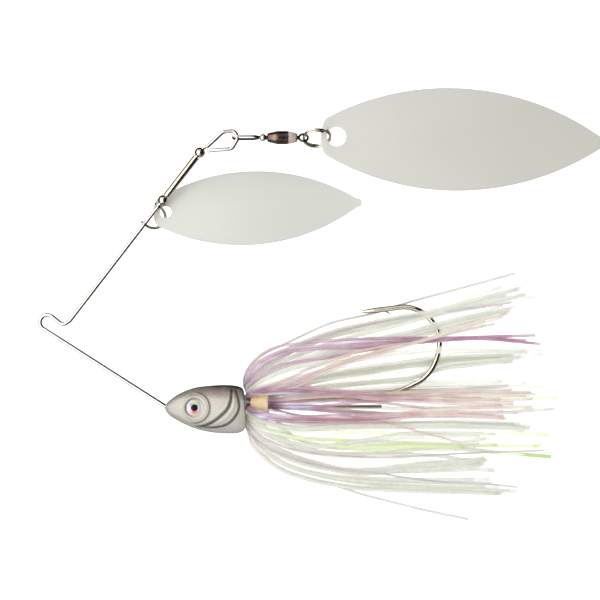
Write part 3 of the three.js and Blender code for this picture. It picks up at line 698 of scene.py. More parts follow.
def eye_shape(side):
    """A sticker with a clear cap: a thin drum whose front face is domed."""
    dome = [(EYE_LIFT + EYE_DOME * math.cos(a), EYE_R * math.sin(a))
            for a in (math.pi / 2 * k / 14 for k in range(14, -1, -1))]
    dome[-1] = (dome[-1][0], 0)
    shape = turned([(0, 0), (0, EYE_R - 0.1), (0.1, EYE_R), *dome], 72)
    matrix = Matrix.Translation((*EYE_PLACE, MID_Z + side * EYE_STAND))
    return placed(shape, matrix @ Matrix.Rotation(-side * math.pi / 2, 4, "Y"))


for hand, side in (("left", 1), ("right", -1)):
    add_piece("eye_sticker_" + hand, eye_shape(side), [EYE_FOIL], "frame", [hand + "_eye"], 50)

# --- pieces on the upper arm
BORE_R = 0.6
LOWER_BEAD_AT = 36.9
UPPER_BEAD_AT = 51.5
SPACER = (38.2, 50.2)
SPACER_R = 0.8
EARS_AT = (29.6, 35.1)
EAR_R = 1.05
BOW_REACH = 4.75
BOW_FOOT = 0.8
BOW_R = 0.32
BOW_TILT = math.radians(45)


def bead_shape():
    start = math.asin(BORE_R / BEAD_R)
    arc = [(-BEAD_R * math.cos(a), BEAD_R * math.sin(a))
           for a in np.linspace(start, math.pi - start, 26)]
    return turned([*arc, arc[0]], 48)


for place, at in (("lower", LOWER_BEAD_AT), ("upper", UPPER_BEAD_AT)):
    add_piece("bead_" + place, placed(bead_shape(), ARM @ Matrix.Translation((at, 0, 0))), [NICKEL],
              place + "_bead", [place + "_bead"], 60)

tube_end = [(0, BORE_R + 0.03), (0.05, SPACER_R - 0.02), (0.15, SPACER_R)]
tube = [*[(SPACER[0] + x, r) for x, r in tube_end], *[(SPACER[1] - x, r) for x, r in reversed(tube_end)],
        (SPACER[1] - 0.1, BORE_R), (SPACER[0] + 0.1, BORE_R), (SPACER[0], BORE_R + 0.03)]
add_piece("spacer_sleeve", placed(turned(tube), ARM), [NICKEL], "spacer", ["spacer_tube"], 60)


def clevis_shape():
    middle = (EARS_AT[0] + EARS_AT[1]) / 2
    half = (EARS_AT[1] - EARS_AT[0]) / 2
    bow = []
    for k in range(41):
        angle = math.pi * k / 40
        out = BOW_FOOT + (BOW_REACH - BOW_FOOT) * math.sin(angle)
        bow.append((middle + half * math.cos(angle), -out, 0))
    ears = []
    for at, side in zip(EARS_AT, (-1, 1)):
        cup = [(0.25, BORE_R), (0.25, EAR_R - 0.12), (0.13, EAR_R), (-0.1, EAR_R), (-0.25, EAR_R - 0.15),
               (-0.25, BORE_R + 0.14), (-0.12, BORE_R), (0.25, BORE_R)]
        ears.append(turned([(at + side * x, r) for x, r in cup][::-side]))
    return placed(merged(sweep(bow, circle(BOW_R, 16)), *ears), Matrix.Rotation(BOW_TILT, 4, "X"))


add_piece("clevis_form", placed(clevis_shape(), ARM), [NICKEL], "clevis", ["clevis"])

# --- willow blades
BLADE_FRONT_ARC = 0.9
BLADE_REAR_ARC = 0.93
BLADE_WIDEST = 0.458
BLADE_HALF_WIDTH = 0.179
BLADE_HEEL = 0.02
BLADE_TIP = 0.015
BLADE_ROWS = 220
BLADE_COLUMNS = 34


def blade_half_width(x, length):
    widest = BLADE_WIDEST * length
    radius = (BLADE_FRONT_ARC if x < widest else BLADE_REAR_ARC) * length
    arc = BLADE_HALF_WIDTH * length - radius + math.sqrt(radius ** 2 - (x - widest) ** 2)

    def easing(depth, reach):
        return math.sqrt(max(0, 1 - (1 - depth / reach) ** 2)) if depth < reach else 1
    ends = easing(x, BLADE_HEEL * length) * easing(length - x, BLADE_TIP * length)
    return max(arc, BLADE_HEEL * length) * ends


def blade_shape(length, thick, cup, hole):
    """A cupped leaf with rounded rims, hole centre at the origin and tip towards +X."""
    widest = BLADE_HALF_WIDTH * length
    points, sides = [], 2 * BLADE_COLUMNS
    for row in range(BLADE_ROWS + 1):
        phase = (row + 0.4) / (BLADE_ROWS + 0.8)
        x = length * (1 - math.cos(math.pi * phase)) / 2
        half = blade_half_width(x, length)
        for k in range(sides):
            angle = 2 * math.pi * (k + 0.5) / sides
            across = math.cos(angle)
            y = half * math.copysign(abs(across) ** 0.8, across)
            rim = min(1, (half - abs(y)) / (thick * 0.6)) if half else 0
            body = thick / 2 * math.sqrt(max(0, 1 - (1 - rim) ** 2))
            z = cup * (half ** 2 - y ** 2) / widest ** 2 + math.copysign(body, math.sin(angle))
            points.append((x - hole, y, z))
    return points, tube_faces(BLADE_ROWS + 1, sides)


def drilled(made, radius, matrix):
    """Cuts the round hole with a turned tool, then removes the tool."""
    points, faces = placed(turned([(-3, 0), (-3, radius), (3, radius), (3, 0)], 64),
                           matrix @ Matrix.Rotation(math.pi / 2, 4, "Y"))
    tool = new_object("drill", [Vector(p) * MM for p in points], faces)
    cut = made.modifiers.new("hole", "BOOLEAN")
    cut.object = tool
    cut.operation = "DIFFERENCE"
    cut.solver = "EXACT"
    bpy.context.view_layer.update()
    graph = bpy.context.evaluated_depsgraph_get()
    result = bpy.data.meshes.new_from_object(made.evaluated_get(graph))
    made.modifiers.clear()
    made.data = result
    for polygon in result.polygons:
        polygon.use_smooth = True
    result.set_sharp_from_angle(angle=math.radians(40))
    bpy.data.objects.remove(tool)


def spin(degrees, axis_name):
    return Matrix.Rotation(math.radians(degrees), 4, axis_name)


FRONT_BLADE_AT = Matrix.Translation((-38.43, 22.52, 2.2)) @ spin(2.9, "Z") @ spin(0.9, "Y") @ spin(-8, "X")
REAR_BLADE_AT = CHAIN @ Matrix.Translation((24.4, 0.27, -0.35)) @ spin(-1.2, "Z")
# Name, length, thickness, depth of the cup, distance of the hole from the heel, its radius, place, paint.
BLADES = [
    ("front", 50.8, 0.5, 1.7, 3.05, 1.45, FRONT_BLADE_AT, PEARL_FRONT),
    ("rear", 69.85, 0.6, 2.3, 3.8, 2.35, REAR_BLADE_AT, PEARL_REAR),
]
for name, length, thick, cup, hole, hole_r, matrix, paint in BLADES:
    blade = add_piece("blade_" + name, placed(blade_shape(length, thick, cup, hole), matrix), [paint],
                      name + "_blade", [name + "_blade"], 40)
    drilled(blade, hole_r, matrix)

# --- swivel and split ring
EYE_WIRE_R = 0.29
EYE_SPIN = spin(69, "X")
BARREL = (7.6, 14.8)
NECK_R = 0.52
REAR_EYE_X = 16.35
REAR_EYE_R = 1.08
REAR_WIRE_R = 0.27


def front_eye_shape():
    half, end, wrap = 0.94, 5.9, -0.74
    bend = wrap + half
    leg = [(end + 0.75, 0.14), (end - 0.3, 0.3), (end - 1.4, 0.8), (end - 2.6, half)]
    turn = [(bend + half * math.cos(a), half * math.sin(a))
            for a in (math.pi / 2 + math.pi * k / 12 for k in range(13))]
    spots = [*leg, *turn, *[(x, -y) for x, y in reversed(leg)]]
    loop = sweep(smooth([(x, y, 0) for x, y in spots], 110), circle(EYE_WIRE_R, 16))
    ball = [(6.55 - 0.86 * math.cos(t), 0.86 * math.sin(t)) for t in np.linspace(0, 2.5, 18)]
    ball[0] = (ball[0][0], 0)
    neck = turned([*ball, (7.3, NECK_R), (8.9, NECK_R), (8.95, 0.92), (9.02, 0.98), (9.6, 0.98),
                   (9.65, 0.9), (9.65, 0)])
    return placed(merged(loop, neck), CHAIN @ EYE_SPIN)


def barrel_shape():
    a, b = BARREL
    outer = rounded([(a, 0.72), (a, 1.0), (a + 0.3, 1.12), (a + 2.1, 1.52), (a + 2.5, 1.6),
                     (a + 4.9, 1.6), (a + 4.95, 1.5), (a + 5.1, 1.5), (a + 5.15, 1.55),
                     (b - 0.9, 1.32), (b - 0.3, 1.14), (b, 1.0), (b, 0.72)], 0.3, 5)
    inner = [(b - 0.55, 0.72), (b - 0.9, 1.15), (b - 1.9, 1.25), (a + 1.9, 1.25), (a + 0.9, 1.15),
             (a + 0.55, 0.72)]
    return placed(turned([*outer, *inner, outer[0]], 64), CHAIN)


def rear_eye_shape():
    ring = [(REAR_EYE_X + x, y, 0) for x, y in circle(REAR_EYE_R, 44)]
    loop = sweep(ring, circle(REAR_WIRE_R, 16), closed=True)
    neck = turned(rounded([(12.75, 0), (12.75, 0.98), (13.45, 0.98), (13.45, NECK_R), (15.27, NECK_R),
                           (15.27, 0)], 0.12))
    return placed(merged(loop, neck), CHAIN @ spin(-36, "X"))


RING_R = 3.22
RING_WIRE_R = 0.25
RING_STEPS = 150
RING_CENTRE = REAR_EYE_X + RING_R + 0.05


def split_ring_shape():
    turns, pitch, start = 1.94, 0.62, math.radians(63)
    points = []
    for k in range(RING_STEPS + 1):
        angle = start + turns * 2 * math.pi * k / RING_STEPS
        points.append((RING_R * math.cos(angle), RING_R * math.sin(angle),
                       pitch * turns * (0.5 - k / RING_STEPS)))
    shape = sweep(points, circle(RING_WIRE_R, 14))
    return placed(shape, CHAIN @ Matrix.Translation((RING_CENTRE, 0, 0)) @ spin(54, "X"))


BALL_FROM = -15.7
NECK_FROM = -14.2


def front_eye_pick(centre):
    """Along X the wire, with painted shade on its inner side round the loop, then the bright ball and the
    dark neck.
    """
    if centre.x > BALL_FROM:
        return 1 if centre.x < NECK_FROM else 2
    inside = (CHAIN @ EYE_SPIN).inverted() @ centre
    # painted shade: the wire's inner side round the loop takes the dark steel colour
    return 2 if abs(inside.y) < 0.86 and inside.x > 0.4 else 0


add_piece("swivel_eye_front", front_eye_shape(), [STEEL, BALL, DARK_STEEL_AND_SLOT_SHADE], "swivel_front",
          ["swivel_front_eye"], 50, front_eye_pick)
add_piece("swivel_barrel_body", barrel_shape(), [BLACK_NICKEL], "swivel_barrel",
          ["swivel_barrel"], 50)
add_piece("swivel_eye_rear", rear_eye_shape(), [DARK_STEEL_AND_SLOT_SHADE], "swivel_rear",
          ["swivel_rear_eye"], 50)
add_piece("split_ring_coil", split_ring_shape(), [RING_STEEL], "split_ring",
          ["split_ring"])

# --- skirt
COLLAR = (-17.9, -13.4)
collar_end = [(0.1, 2.2), (0, 2.7), (0.35, 3.15)]
collar_profile = rounded([*[(COLLAR[0] + x, r) for x, r in collar_end], (-15.65, 3.02),
                          *[(COLLAR[1] - x, r) for x, r in reversed(collar_end)]], 0.5, 5)
add_piece("collar_band", placed(turned([*collar_profile, collar_profile[0]], 64),
                                Matrix.Translation((0, AXIS_Y, MID_Z))),
          [RUBBER], "frame", ["skirt_collar"], 60)

# A tuft: its finish and slot, how many strands are drawn between those listed, and how far they stray.
# A strand: its width, its heights at 15, 45, 65 and 100 % of its length, and its way in the plane of the
# table. A strand that starts at the collar's front folds back over it; the others leave its rear.
FLOOR_CLEAR = 0.35
STRAND_THICK = 0.26
STRANDS = {
    "tuft_top_arch": (ARCH, "purple_silicone", 3, 0.3, [
        (0.71, (7, 7.2, 6.6, 2.4), [(-19.2, -20.1), (-19.4, -18), (-18.4, -15.4), (-15.9, -12.5),
         (-11.7, -10.2), (-6, -9.3), (9.6, -8.2), (30.3, -7.9), (51.4, -7.4)]),
        (0.67, (7.8, 7.8, 6.4, 2), [(-19, -20.3), (-17.4, -17.2), (-14.8, -14.6), (-11.2, -12.3), (-6, -11),
         (12.1, -10.1), (25.1, -8.4), (39.6, -8.1), (52.6, -9.5)]),
        (0.67, (8.2, 8.2, 7, 3), [(-18.6, -20.8), (-15.9, -17.5), (-11.7, -14.9), (-6, -13.6), (0.2, -12.8),
         (12.1, -10.7), (22.5, -9.2), (35.5, -8.1), (45.8, -7.6)]),
    ]),
    "tuft_top_white_a": (WHITE, "white_silicone", 3, 0.5, [
        (0.95, (5.6, 6, 5.8, 2.2), [(-19.2, -20), (-18.2, -16.2), (-14.5, -13), (-9, -10.8), (-4.4, -8.8),
         (2.7, -6.2), (10.4, -4.5), (19.1, -2.9), (26.7, -1.7), (38.5, 1.7), (48.2, 4.2)]),
    ]),
    "tuft_top_white_b": (WHITE, "white_silicone", 8, 0.7, [
        (0.95, (5.2, 5.6, 5.6, 1.6), [(-18.8, -20.4), (-17, -17.4), (-12.5, -14.6), (-5, -11.4), (5, -8),
         (15, -5.6), (26, -2.6), (38, 0.6), (49, 2.7)]),
        (0.95, (5.4, 5.8, 5.8, 1.8), [(-18.8, -20.6), (-16.5, -18), (-11, -15.4), (-3, -12.8), (8, -9.6),
         (20, -6.8), (32, -3.6), (45.4, -1)]),
        (0.95, (5.4, 5.8, 5.6, 1.8), [(-18.7, -20.9), (-15.5, -18.6), (-9, -15.9), (0, -13.2), (10, -10.6),
         (20, -8.4), (30, -5.8), (44.5, -1.9)]),
        (0.89, (5, 5.2, 5.4, 1.2), [(-18.9, -20.5), (-17.2, -17.6), (-13.5, -14.8), (-7, -11), (3, -7.4),
         (15, -4.8), (30, -2), (51.2, 2)]),
    ]),
    "tuft_top_peach": (PEACH, "peach_silicone", 3, 0.4, [
        (0.71, (8.8, 9.4, 8.4, 3), [(-18.4, -21.2), (-13.8, -20.6), (-9.6, -19.3), (-6, -17.7),
         (-0.8, -15.7), (7.5, -12.8), (14.7, -10.7), (23, -8.9), (30.3, -7), (41.5, -4.6)]),
        (0.67, (9, 9.8, 8.6, 4), [(-18.2, -21.6), (-12.2, -21), (-6.5, -19.6), (-0.8, -16.7), (4.4, -14.6),
         (11.6, -12.3), (17.8, -10.5), (26.2, -7.8), (35.9, -4.4), (45.1, -1.4)]),
        (0.67, (8.4, 8.8, 7.8, 3), [(-18.5, -21), (-13, -19.6), (-8, -17.4), (-1.3, -14.4), (7, -11.6),
         (16, -9.8), (27, -8.8), (40.7, -8)]),
    ]),
    "tuft_upper_white_a": (WHITE, "white_silicone", 7, 0.8, [
        (0.95, (4, 2.2, 2, 1), [(-18.6, -21), (-14, -19.6), (-6, -18), (4.4, -16.2), (14.7, -14.6),
         (25.1, -13.1), (40.7, -12.3), (53.5, -12.1)]),
        (0.95, (4.6, 2.6, 2.2, 1.2), [(-18.5, -21.4), (-11.2, -20.6), (0.7, -18), (10.6, -16.4),
         (19.9, -14.9), (32.9, -13.8), (45.6, -13.7)]),
    ]),
    "tuft_upper_white_b": (WHITE, "white_silicone", 6, 0.9, [
        (0.95, (8.2, 8, 6.2, 2), [(-18.6, -21.1), (-14.8, -18.2), (-8.6, -15.4), (1.8, -13.3),
         (14.7, -11.8), (30.3, -10.5), (53.1, -11)]),
        (0.95, (7.6, 3, 2.6, 2), [(-18.4, -21.6), (-6, -20.6), (0.7, -19.3), (10.6, -18.5), (22.5, -17.2),
         (28.2, -15.1), (47.9, -12.7)]),
    ]),
    "tuft_upper_lilac": (PINK_GREY, "purple_silicone", 0, 0.3, [
        (0.5, (7, 6.4, 5.8, 3), [(-18.9, -20.3), (-17.4, -17), (-13.5, -14), (-8, -11.4), (-2.4, -8.5),
         (4.8, -6.2), (13, -4.2), (21.1, -2.8), (28.3, -1.8), (37.4, -0.6), (45.6, 0.6)]),
        (0.59, (7.2, 3.2, 3, 2.6), [(-12.7, -21.9), (0, -20.9), (9.6, -21), (22.5, -20.7), (35.5, -20.3),
         (44.8, -19.6)]),
    ]),
    "tuft_middle_purple_a": (ROSE, "purple_silicone", 2, 0.4, [
        (0.76, (8.8, 8.2, 5.8, 3.4), [(-18.7, -21.6), (-16.4, -20.8), (-12.7, -20), (-8.1, -19.4),
         (-3.4, -19.7), (3.3, -20.7), (9.6, -21.5), (15.8, -21.9), (25.1, -22), (38.1, -22.7)]),
        (0.76, (9.2, 8, 6.2, 4), [(-18.6, -22.4), (-15.9, -21.2), (-11.2, -20.7), (-5, -20.8), (3.3, -21.6),
         (10.6, -22.6), (19.9, -23.2), (30.3, -23.9), (43.3, -24.3)]),
        (0.67, (8.4, 7.4, 5.8, 3), [(-18.5, -22), (-14, -21), (-8, -20.4), (0, -20.9), (9.6, -21.8),
         (19.9, -22), (30.3, -21.4), (40.7, -22.1), (51.5, -21.6)]),
    ]),
    "tuft_middle_white_a": (WHITE, "white_silicone", 3, 0.6, [
        (0.95, (3.4, 1.8, 1.4, 1), [(-12.7, -22.2), (-6, -21.6), (9.6, -19.3), (22.5, -18.7), (32.9, -18.5),
         (43.5, -18.5)]),
        (0.95, (3, 1.6, 1.4, 1.2), [(-12.7, -22.5), (-6, -22.1), (9.6, -20.5), (25.1, -19.6), (40.7, -19.4),
         (49.5, -19)]),
        (0.95, (2.6, 1.4, 1.2, 0.9), [(-12.7, -22.8), (-6, -22.4), (14.7, -20.8), (30.3, -20.1),
         (53.3, -20.1)]),
        (0.75, (1.4, 1.2, 1, 0.8), [(-12.7, -24.8), (0, -25.6), (20, -26.6), (44.3, -26.2), (50, -25.8),
         (56.4, -25.3)]),
    ]),
    "tuft_middle_white_b": (PEACH, "white_silicone", 4, 0.7, [
        (0.71, (7, 6.4, 5, 2.6), [(-12.7, -23.2), (-4, -22.4), (4.4, -21.9), (17.8, -22.4), (30.3, -22.1),
         (43.3, -23.2), (50.8, -22.9)]),
        (0.71, (6.6, 6, 4, 2.2), [(-12.7, -23), (-4, -22), (9.6, -21.9), (22.5, -21.4), (36, -20.9),
         (50.5, -21.4)]),
    ]),
    "tuft_middle_lime": (LIME, "lime_silicone", 0, 0.5, [
        (0.89, (1.6, 1.4, 1.2, 1), [(-12.7, -23.6), (0, -23), (18, -22.9), (38, -22.7), (56.8, -22.6)]),
    ]),
    "tuft_middle_purple_b": (ROSE, "purple_silicone", 3, 0.4, [
        (0.8, (8.9, 8.6, 7.2, 4.4), [(-18.4, -24.3), (-16.4, -25.5), (-12.2, -26.4), (-6, -26.9),
         (0.7, -27.2), (7.5, -27), (14.7, -26.4), (25.1, -25.5), (43.3, -24.6)]),
        (0.76, (8.6, 8.4, 6.8, 4), [(-18.4, -25), (-15.3, -26.8), (-10.2, -27.8), (-1.9, -28.2),
         (5.4, -28.2), (14.7, -28), (25.1, -26.6), (35.5, -26.8), (44.3, -27.6)]),
        (0.67, (8.2, 7.8, 6.4, 3.6), [(-18.4, -24.7), (-15.8, -26.2), (-11, -27.2), (-3, -27.6), (8, -27.6),
         (20, -26.9), (32, -26.6), (43.8, -27)]),
    ]),
    "tuft_middle_purple_c": (ROSE, "purple_silicone", 0, 0.4, [
        (0.71, (7.2, 6.8, 5.8, 4.6), [(-12.7, -23.7), (-6, -23.8), (4.4, -23.1), (14.7, -23.7),
         (25.1, -24.9), (35.5, -25), (50.5, -24.8)]),
        (0.67, (6.8, 6.6, 5.6, 4), [(-12.7, -24.4), (-6, -25), (4.4, -26.1), (14.7, -26.8), (25.1, -27.1),
         (35.5, -27.3), (43.8, -27.6)]),
        (0.8, (7, 6.6, 5.6, 4), [(-12.7, -24.4), (-6, -24.7), (0, -24.4), (5, -23.8), (12, -23.2),
         (22, -23), (36, -23.5), (46, -23.9)]),
        (0.76, (6.9, 6.5, 5.4, 4), [(-12.7, -24.7), (-5, -25.2), (2, -25.2), (8, -25.7), (16, -26.2),
         (30, -25.9), (47, -26.3)]),
        (0.46, (7.6, 7.4, 7, 4), [(-12.7, -24.9), (-6, -26.6), (4.4, -26.6), (13.7, -28.1), (19.9, -29.7),
         (27.2, -31.7), (33.4, -33.5), (39.6, -35.9)]),
    ]),
    "tuft_lower_white_a": (WHITE, "white_silicone", 7, 0.7, [
        (0.95, (4, 2.6, 2, 1), [(-18.4, -26.8), (-15.3, -28.4), (-6, -30), (9.6, -29.9), (25.1, -29.7),
         (50.3, -29.7)]),
        (0.95, (3.4, 2.2, 1.8, 1), [(-12.7, -25.4), (-4, -27.4), (14, -28.6), (32, -28.4), (48, -28.9)]),
        (0.95, (7.2, 6.8, 5, 2.4), [(-18.3, -26), (-15.9, -27.8), (-11.2, -29.1), (-5, -30), (1.8, -29.4),
         (14, -29.2), (30, -29.2), (50, -30.2)]),
    ]),
    "tuft_lower_lime_a": (LIME, "lime_silicone", 2, 0.8, [
        (0.95, (6.4, 5.6, 4.4, 2.4), [(-18.5, -27), (-14, -29.6), (-6, -30.6), (9.6, -30.9), (25.1, -31.2),
         (40.7, -31.4), (54.7, -31.5)]),
        (0.95, (7.4, 7.2, 6.2, 3.4), [(-18.5, -27.4), (-16, -29.6), (-11.2, -31), (-3.4, -32.6),
         (4.4, -34.2), (12.1, -34.4), (22.5, -34.2), (34.4, -34.4)]),
        (0.7, (6, 5, 3.4, 1), [(-18.5, -27.8), (-15, -30.4), (-8, -32.2), (-0.8, -32.4), (14.7, -33),
         (30.3, -33.8), (45.8, -34.1), (53, -34.1)]),
    ]),
    "tuft_lower_lime_b": (GREEN_TIP, "lime_silicone", 0, 0.5, [
        (0.95, (3.2, 2.2, 1.8, 0.9), [(-18.5, -27.6), (-15.5, -29.8), (-10.2, -31), (-0.8, -34.1),
         (9.6, -35.1), (19.9, -35.1), (30.3, -35.1), (44.8, -36.1), (55.4, -37)]),
    ]),
    "tuft_lower_white_b": (WHITE, "white_silicone", 9, 1.2, [
        (0.95, (6.6, 6, 4.4, 2.2), [(-18.5, -28), (-16, -30.4), (-12, -31.8), (-6, -34.4), (4.4, -36),
         (19.9, -35.4), (39.4, -32.5)]),
        (0.95, (6, 5.4, 4, 1.8), [(-18.5, -28.2), (-15.8, -31.4), (-9, -34.8), (0, -36.6), (14.7, -37.4),
         (28.2, -38), (41.7, -40.5)]),
        (0.69, (6.8, 6.6, 5.4, 3.6), [(-8.6, -30.9), (-5, -33), (-0.8, -34), (5.4, -33.3), (12.1, -32.2),
         (22.5, -30.9), (41.7, -31.3)]),
    ]),
    "tuft_lower_white_c": (WHITE, "white_silicone", 10, 1.2, [
        (0.95, (2.4, 1.6, 1.2, 0.8), [(-18.6, -28.6), (-17, -32), (-12.2, -36), (-5, -38.8), (6, -40.6),
         (20, -40.6), (41.5, -40.2)]),
        (0.89, (5.6, 5, 4.2, 2.6), [(-18.6, -28.4), (-16.4, -31.8), (-11, -35), (-6, -37), (4.4, -40.2),
         (11.6, -40.3), (19.9, -39.2), (30.3, -38.6), (40.1, -37.6)]),
    ]),
    "tuft_lower_white_d": (WHITE, "white_silicone", 8, 0.8, [
        (0.95, (4.6, 4, 2.8, 1.6), [(-18.7, -29), (-16.9, -33.5), (-12.2, -37.2), (-5, -40.3), (4.4, -41.8),
         (19.9, -42.4), (40.4, -42.4)]),
        (0.95, (4.2, 3.6, 2.4, 1.2), [(-18.6, -29.2), (-16.4, -34.1), (-11.2, -37.9), (-3.9, -40.5),
         (5.4, -42.4), (17.8, -43.7), (30.3, -44.4), (45.4, -45.2)]),
    ]),
    "tuft_bottom_white": (WHITE, "white_silicone", 4, 0.7, [
        (0.95, (3, 2.4, 1.6, 0.8), [(-18.7, -29.4), (-17.4, -33.8), (-14.3, -37.2), (-10.2, -40),
         (-4.4, -42.1), (1.8, -43.5), (9.6, -44.5), (25.1, -45.1), (46.9, -45.4)]),
    ]),
    "tuft_stray": (STRAY, "purple_silicone", 0, 0.3, [
        (0.6, (2.4, 1.4, 1, 0.7), [(-18.6, -29.5), (-17.2, -34.3), (-13.3, -38.2), (-7, -41.3),
         (1.8, -43.7), (9.6, -46.2), (17.3, -48.2), (25.1, -50.1), (35.2, -52.2)]),
    ]),
    "stray_top": (STRAY, "white_silicone", 0, 0.3, [
        (0.6, (5, 2.6, 2.4, 1.4), [(-19.3, -19.8), (-18.6, -15.8), (-15, -12.2), (-10, -9.7), (-5.4, -7.5),
         (1.7, -4.4), (12.2, -2), (21.1, 0.8), (33.4, 4.1), (46.6, 7.7)]),
    ]),
    "pink_grey": (PINK_GREY, "purple_silicone", 0, 0.5, [
        (0.45, (7.4, 7, 6, 4), [(-18.6, -27.2), (-17.4, -29.7), (-14.8, -32), (-8.6, -34.6), (-0.8, -36.1),
         (9.6, -36.7), (19.9, -36.7), (30.3, -36.1), (40.7, -35.7), (53.4, -35.3)]),
        (0.45, (6.4, 6.2, 5.2, 2.4), [(-18.6, -28), (-17.7, -30.9), (-15.9, -33.3), (-10.2, -36.3),
         (-3.4, -38.3), (4.4, -39.8), (11.6, -40.5), (19.9, -41.8), (27.7, -42.8), (38.1, -43.3),
         (47, -44.3)]),
    ]),
}
STRAND_STEPS = 56
FOLD_R = 4.0
TUCK_R = 2.75
FOLDS_BEFORE_X = -17
HIGH_Z = 5
ROOT_OUT = ((-17.6, 2.65), (-18.5, 3.0))
ROOT_IN = ((-13.7, 2.65), (-12.9, 2.7))
ROOT_SHARE = 0.12
draw = random.Random(7)


def strand_ring(width):
    half, thin = width / 2, STRAND_THICK / 2
    edge, shoulder = thin * 0.4, half * 0.8
    over = [(half, edge), (shoulder, thin), (0, thin * 1.1), (-shoulder, thin), (-half, edge)]
    return [(half, -edge), *over, *[(-a, -b) for a, b in over[:4]]]


def strand(width, heights, way, shift, lift, cut_back):
    """One flat strand from the collar to its tip; shift and lift grow along it."""
    folds = way[0][0] < FOLDS_BEFORE_X
    roots = ROOT_OUT if folds else ROOT_IN
    first_y = way[0][1] - AXIS_Y
    side = 1 if heights[0] > HIGH_Z else -1
    reach = FOLD_R if folds else TUCK_R
    first_z = MID_Z + side * math.sqrt(max(0.2, reach ** 2 - min(abs(first_y), reach) ** 2))
    out = Vector((first_y, first_z - MID_Z)).normalized()
    flat = np.array(way, float)
    lengths = np.concatenate([[0], np.cumsum(np.linalg.norm(np.diff(flat, axis=0), axis=1))])
    share = lengths / lengths[-1]
    spots = [(x, AXIS_Y + out.x * r, MID_Z + out.y * r) for x, r in roots]
    for t, (x, y) in zip(share, way):
        z = np.interp(t, (0, 0.15, 0.45, 0.65, 1), (first_z, *heights))
        gain = t ** 0.7
        spots.append((x - cut_back * t ** 4, y + shift * gain, max(z + lift * gain, FLOOR_CLEAR)))
    path = smooth(spots, STRAND_STEPS)
    twist = draw.uniform(-0.3, 0.3)
    swing = draw.uniform(-0.35, 0.35)
    clock = math.atan2(out.y, out.x) - math.pi / 2
    turns = []
    for i in range(STRAND_STEPS):
        t = i / (STRAND_STEPS - 1)
        root = max(0, 1 - t / ROOT_SHARE)
        turns.append(clock * root + (twist + swing * math.sin(3 * t + twist)) * (1 - root))
    return sweep(path, strand_ring(width), None, turns)


def blended(rows, wander):
    """A strand between two neighbours of a tuft, a little off to one side and cut shorter."""
    first = draw.randrange(len(rows))
    other = rows[min(first + 1, len(rows) - 1)]
    share = draw.uniform(0.1, 0.9)
    ways = [even(np.array(way, float), 16) for _, _, way in (rows[first], other)]
    way = ways[0] * (1 - share) + ways[1] * share
    heights = [a * (1 - share) + b * share for a, b in zip(rows[first][1], other[1])]
    width = rows[first][0] * draw.uniform(0.8, 1.0)
    return strand(width, heights, way, draw.uniform(-wander, wander), draw.uniform(-0.4, 0.4),
                  draw.uniform(0, 5))


for tuft, (finish, slot, extra, wander, rows) in STRANDS.items():
    shapes = [strand(width, heights, way, 0, 0, 0) for width, heights, way in rows]
    shapes += [blended(rows, wander) for _ in range(extra)]
    stands_for = [tuft] if tuft.startswith("tuft") else []
    add_piece("strands_" + tuft.replace("tuft_", ""), merged(*shapes), [finish], "frame",
              stands_for, 50)

# --- floor, light
def square(half, z):
    """The corners and the one face of a level square."""
    return [(-half, -half, z), (half, -half, z), (half, half, z), (-half, half, z)], [(0, 1, 2, 3)]


FLOOR_HALF = 20.0
FLOOR_DROP = 0.1  # the lure lies as if on clear glass, with room below for a blade that hangs down
FLOOR_GLOW = 0.4
floor_paint, floor_tree, floor_base = material("floor_white", Roughness=0.9, Emission_Color=WHITE_LIGHT,
                                               Emission_Strength=FLOOR_GLOW)
grain = spread(floor_tree, noise(floor_tree, 30, 3), 0.9, 0.92)
grey = node(floor_tree, "ShaderNodeCombineColor", {"Red": grain, "Green": grain, "Blue": grain})
dress(floor_tree, floor_base, Base_Color=grey.outputs["Color"])
floor = new_object("floor", *square(FLOOR_HALF, 0), floor_paint)
floor.visible_glossy = False
floor.location.z = -FLOOR_DROP

# Shells stand out of the camera's sight, 1 m away: dark ones give bright metal its dark lines, a pale one
# its shine.
SHELL_STEPS = 16
SHELLS = [  # name, bearings in degrees from +X, elevations in degrees, screen colour, glow
    ("shell_right", (-72, 68), (0, 83), rgb(10, 10, 10), 0),
    ("shell_near", (-118, -72), (0, 22), rgb(10, 10, 10), 0),
    ("shell_far", (68, 112), (0, 18), rgb(10, 10, 10), 0),
    ("shell_low_left", (112, 242), (0, 17), rgb(56, 54, 52), 0),
    ("shell_left", (112, 242), (17, 82), rgb(255, 253, 250), 1.5),
]
TOP_CARD_HALF = 0.1
TOP_CARD_Z = 1.0


def shell_paint(name, colour, glow):
    made, tree, base = material(name, Roughness=0.9, Emission_Color=colour, Emission_Strength=glow)
    cloth = spread(tree, noise(tree, 60, 3), 0.92, 1)
    dress(tree, base, Base_Color=mixed(tree, cloth, BLACK, colour))
    return made


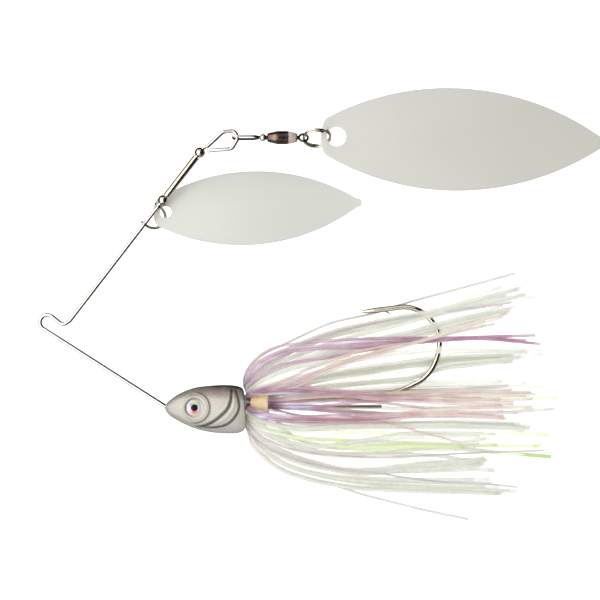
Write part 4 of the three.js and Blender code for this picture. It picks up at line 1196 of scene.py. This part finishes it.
def add_shell(name, points, faces, colour, glow):
    shell = new_object(name, points, faces, shell_paint(name, colour, glow))
    shell.visible_camera = False
    shell.visible_shadow = False
    shell.visible_diffuse = False


for name, bearings, elevations, colour, glow in SHELLS:
    points, faces = [], []
    for i in range(SHELL_STEPS + 1):
        rise = math.radians(np.interp(i / SHELL_STEPS, (0, 1), elevations))
        for k in range(SHELL_STEPS + 1):
            turn = math.radians(np.interp(k / SHELL_STEPS, (0, 1), bearings))
            out = math.cos(rise)
            points.append((math.cos(turn) * out, math.sin(turn) * out, math.sin(rise)))
    for i in range(SHELL_STEPS):
        for k in range(SHELL_STEPS):
            a = i * (SHELL_STEPS + 1) + k
            faces.append((a, a + 1, a + SHELL_STEPS + 2, a + SHELL_STEPS + 1))
    add_shell(name, points, faces, colour, glow)
add_shell("card_top", *square(TOP_CARD_HALF, TOP_CARD_Z), rgb(10, 10, 10), 0)


def softbox(name, at, size, energy):
    data = bpy.data.lights.new(name, "AREA")
    data.shape = "SQUARE"
    data.size = size
    data.energy = energy
    made = bpy.data.objects.new(name, data)
    made.location = at
    made.rotation_euler = Vector(at).to_track_quat("Z", "Y").to_euler()
    made.visible_glossy = False
    scene.collection.objects.link(made)


softbox("softbox_left", (-0.8, 0.5, 1.2), 1.2, 5)
softbox("softbox_near", (0.1, -0.9, 1.2), 0.8, 4)

# The world is white above and dark below, so that metal has something to reflect from underneath.
WORLD_GLOW = 0.95
world = bpy.data.worlds.new("studio")
world.use_nodes = True
sky = world.node_tree
direction = node(sky, "ShaderNodeTexCoord").outputs["Generated"]
toward = node(sky, "ShaderNodeSeparateXYZ", {"Vector": direction})
east_west = spread(sky, toward.outputs["X"], 0, 1, -1, 1)
below = ramp(sky, east_west, [(0.3, rgb(80, 78, 74)), (0.6, rgb(16, 15, 14))])
glow = mixed(sky, spread(sky, toward.outputs["Z"], 0, 1, -0.04, 0.04), below, WHITE_LIGHT)
dress(sky, sky.nodes["Background"], Color=glow, Strength=WORLD_GLOW)
scene.world = world
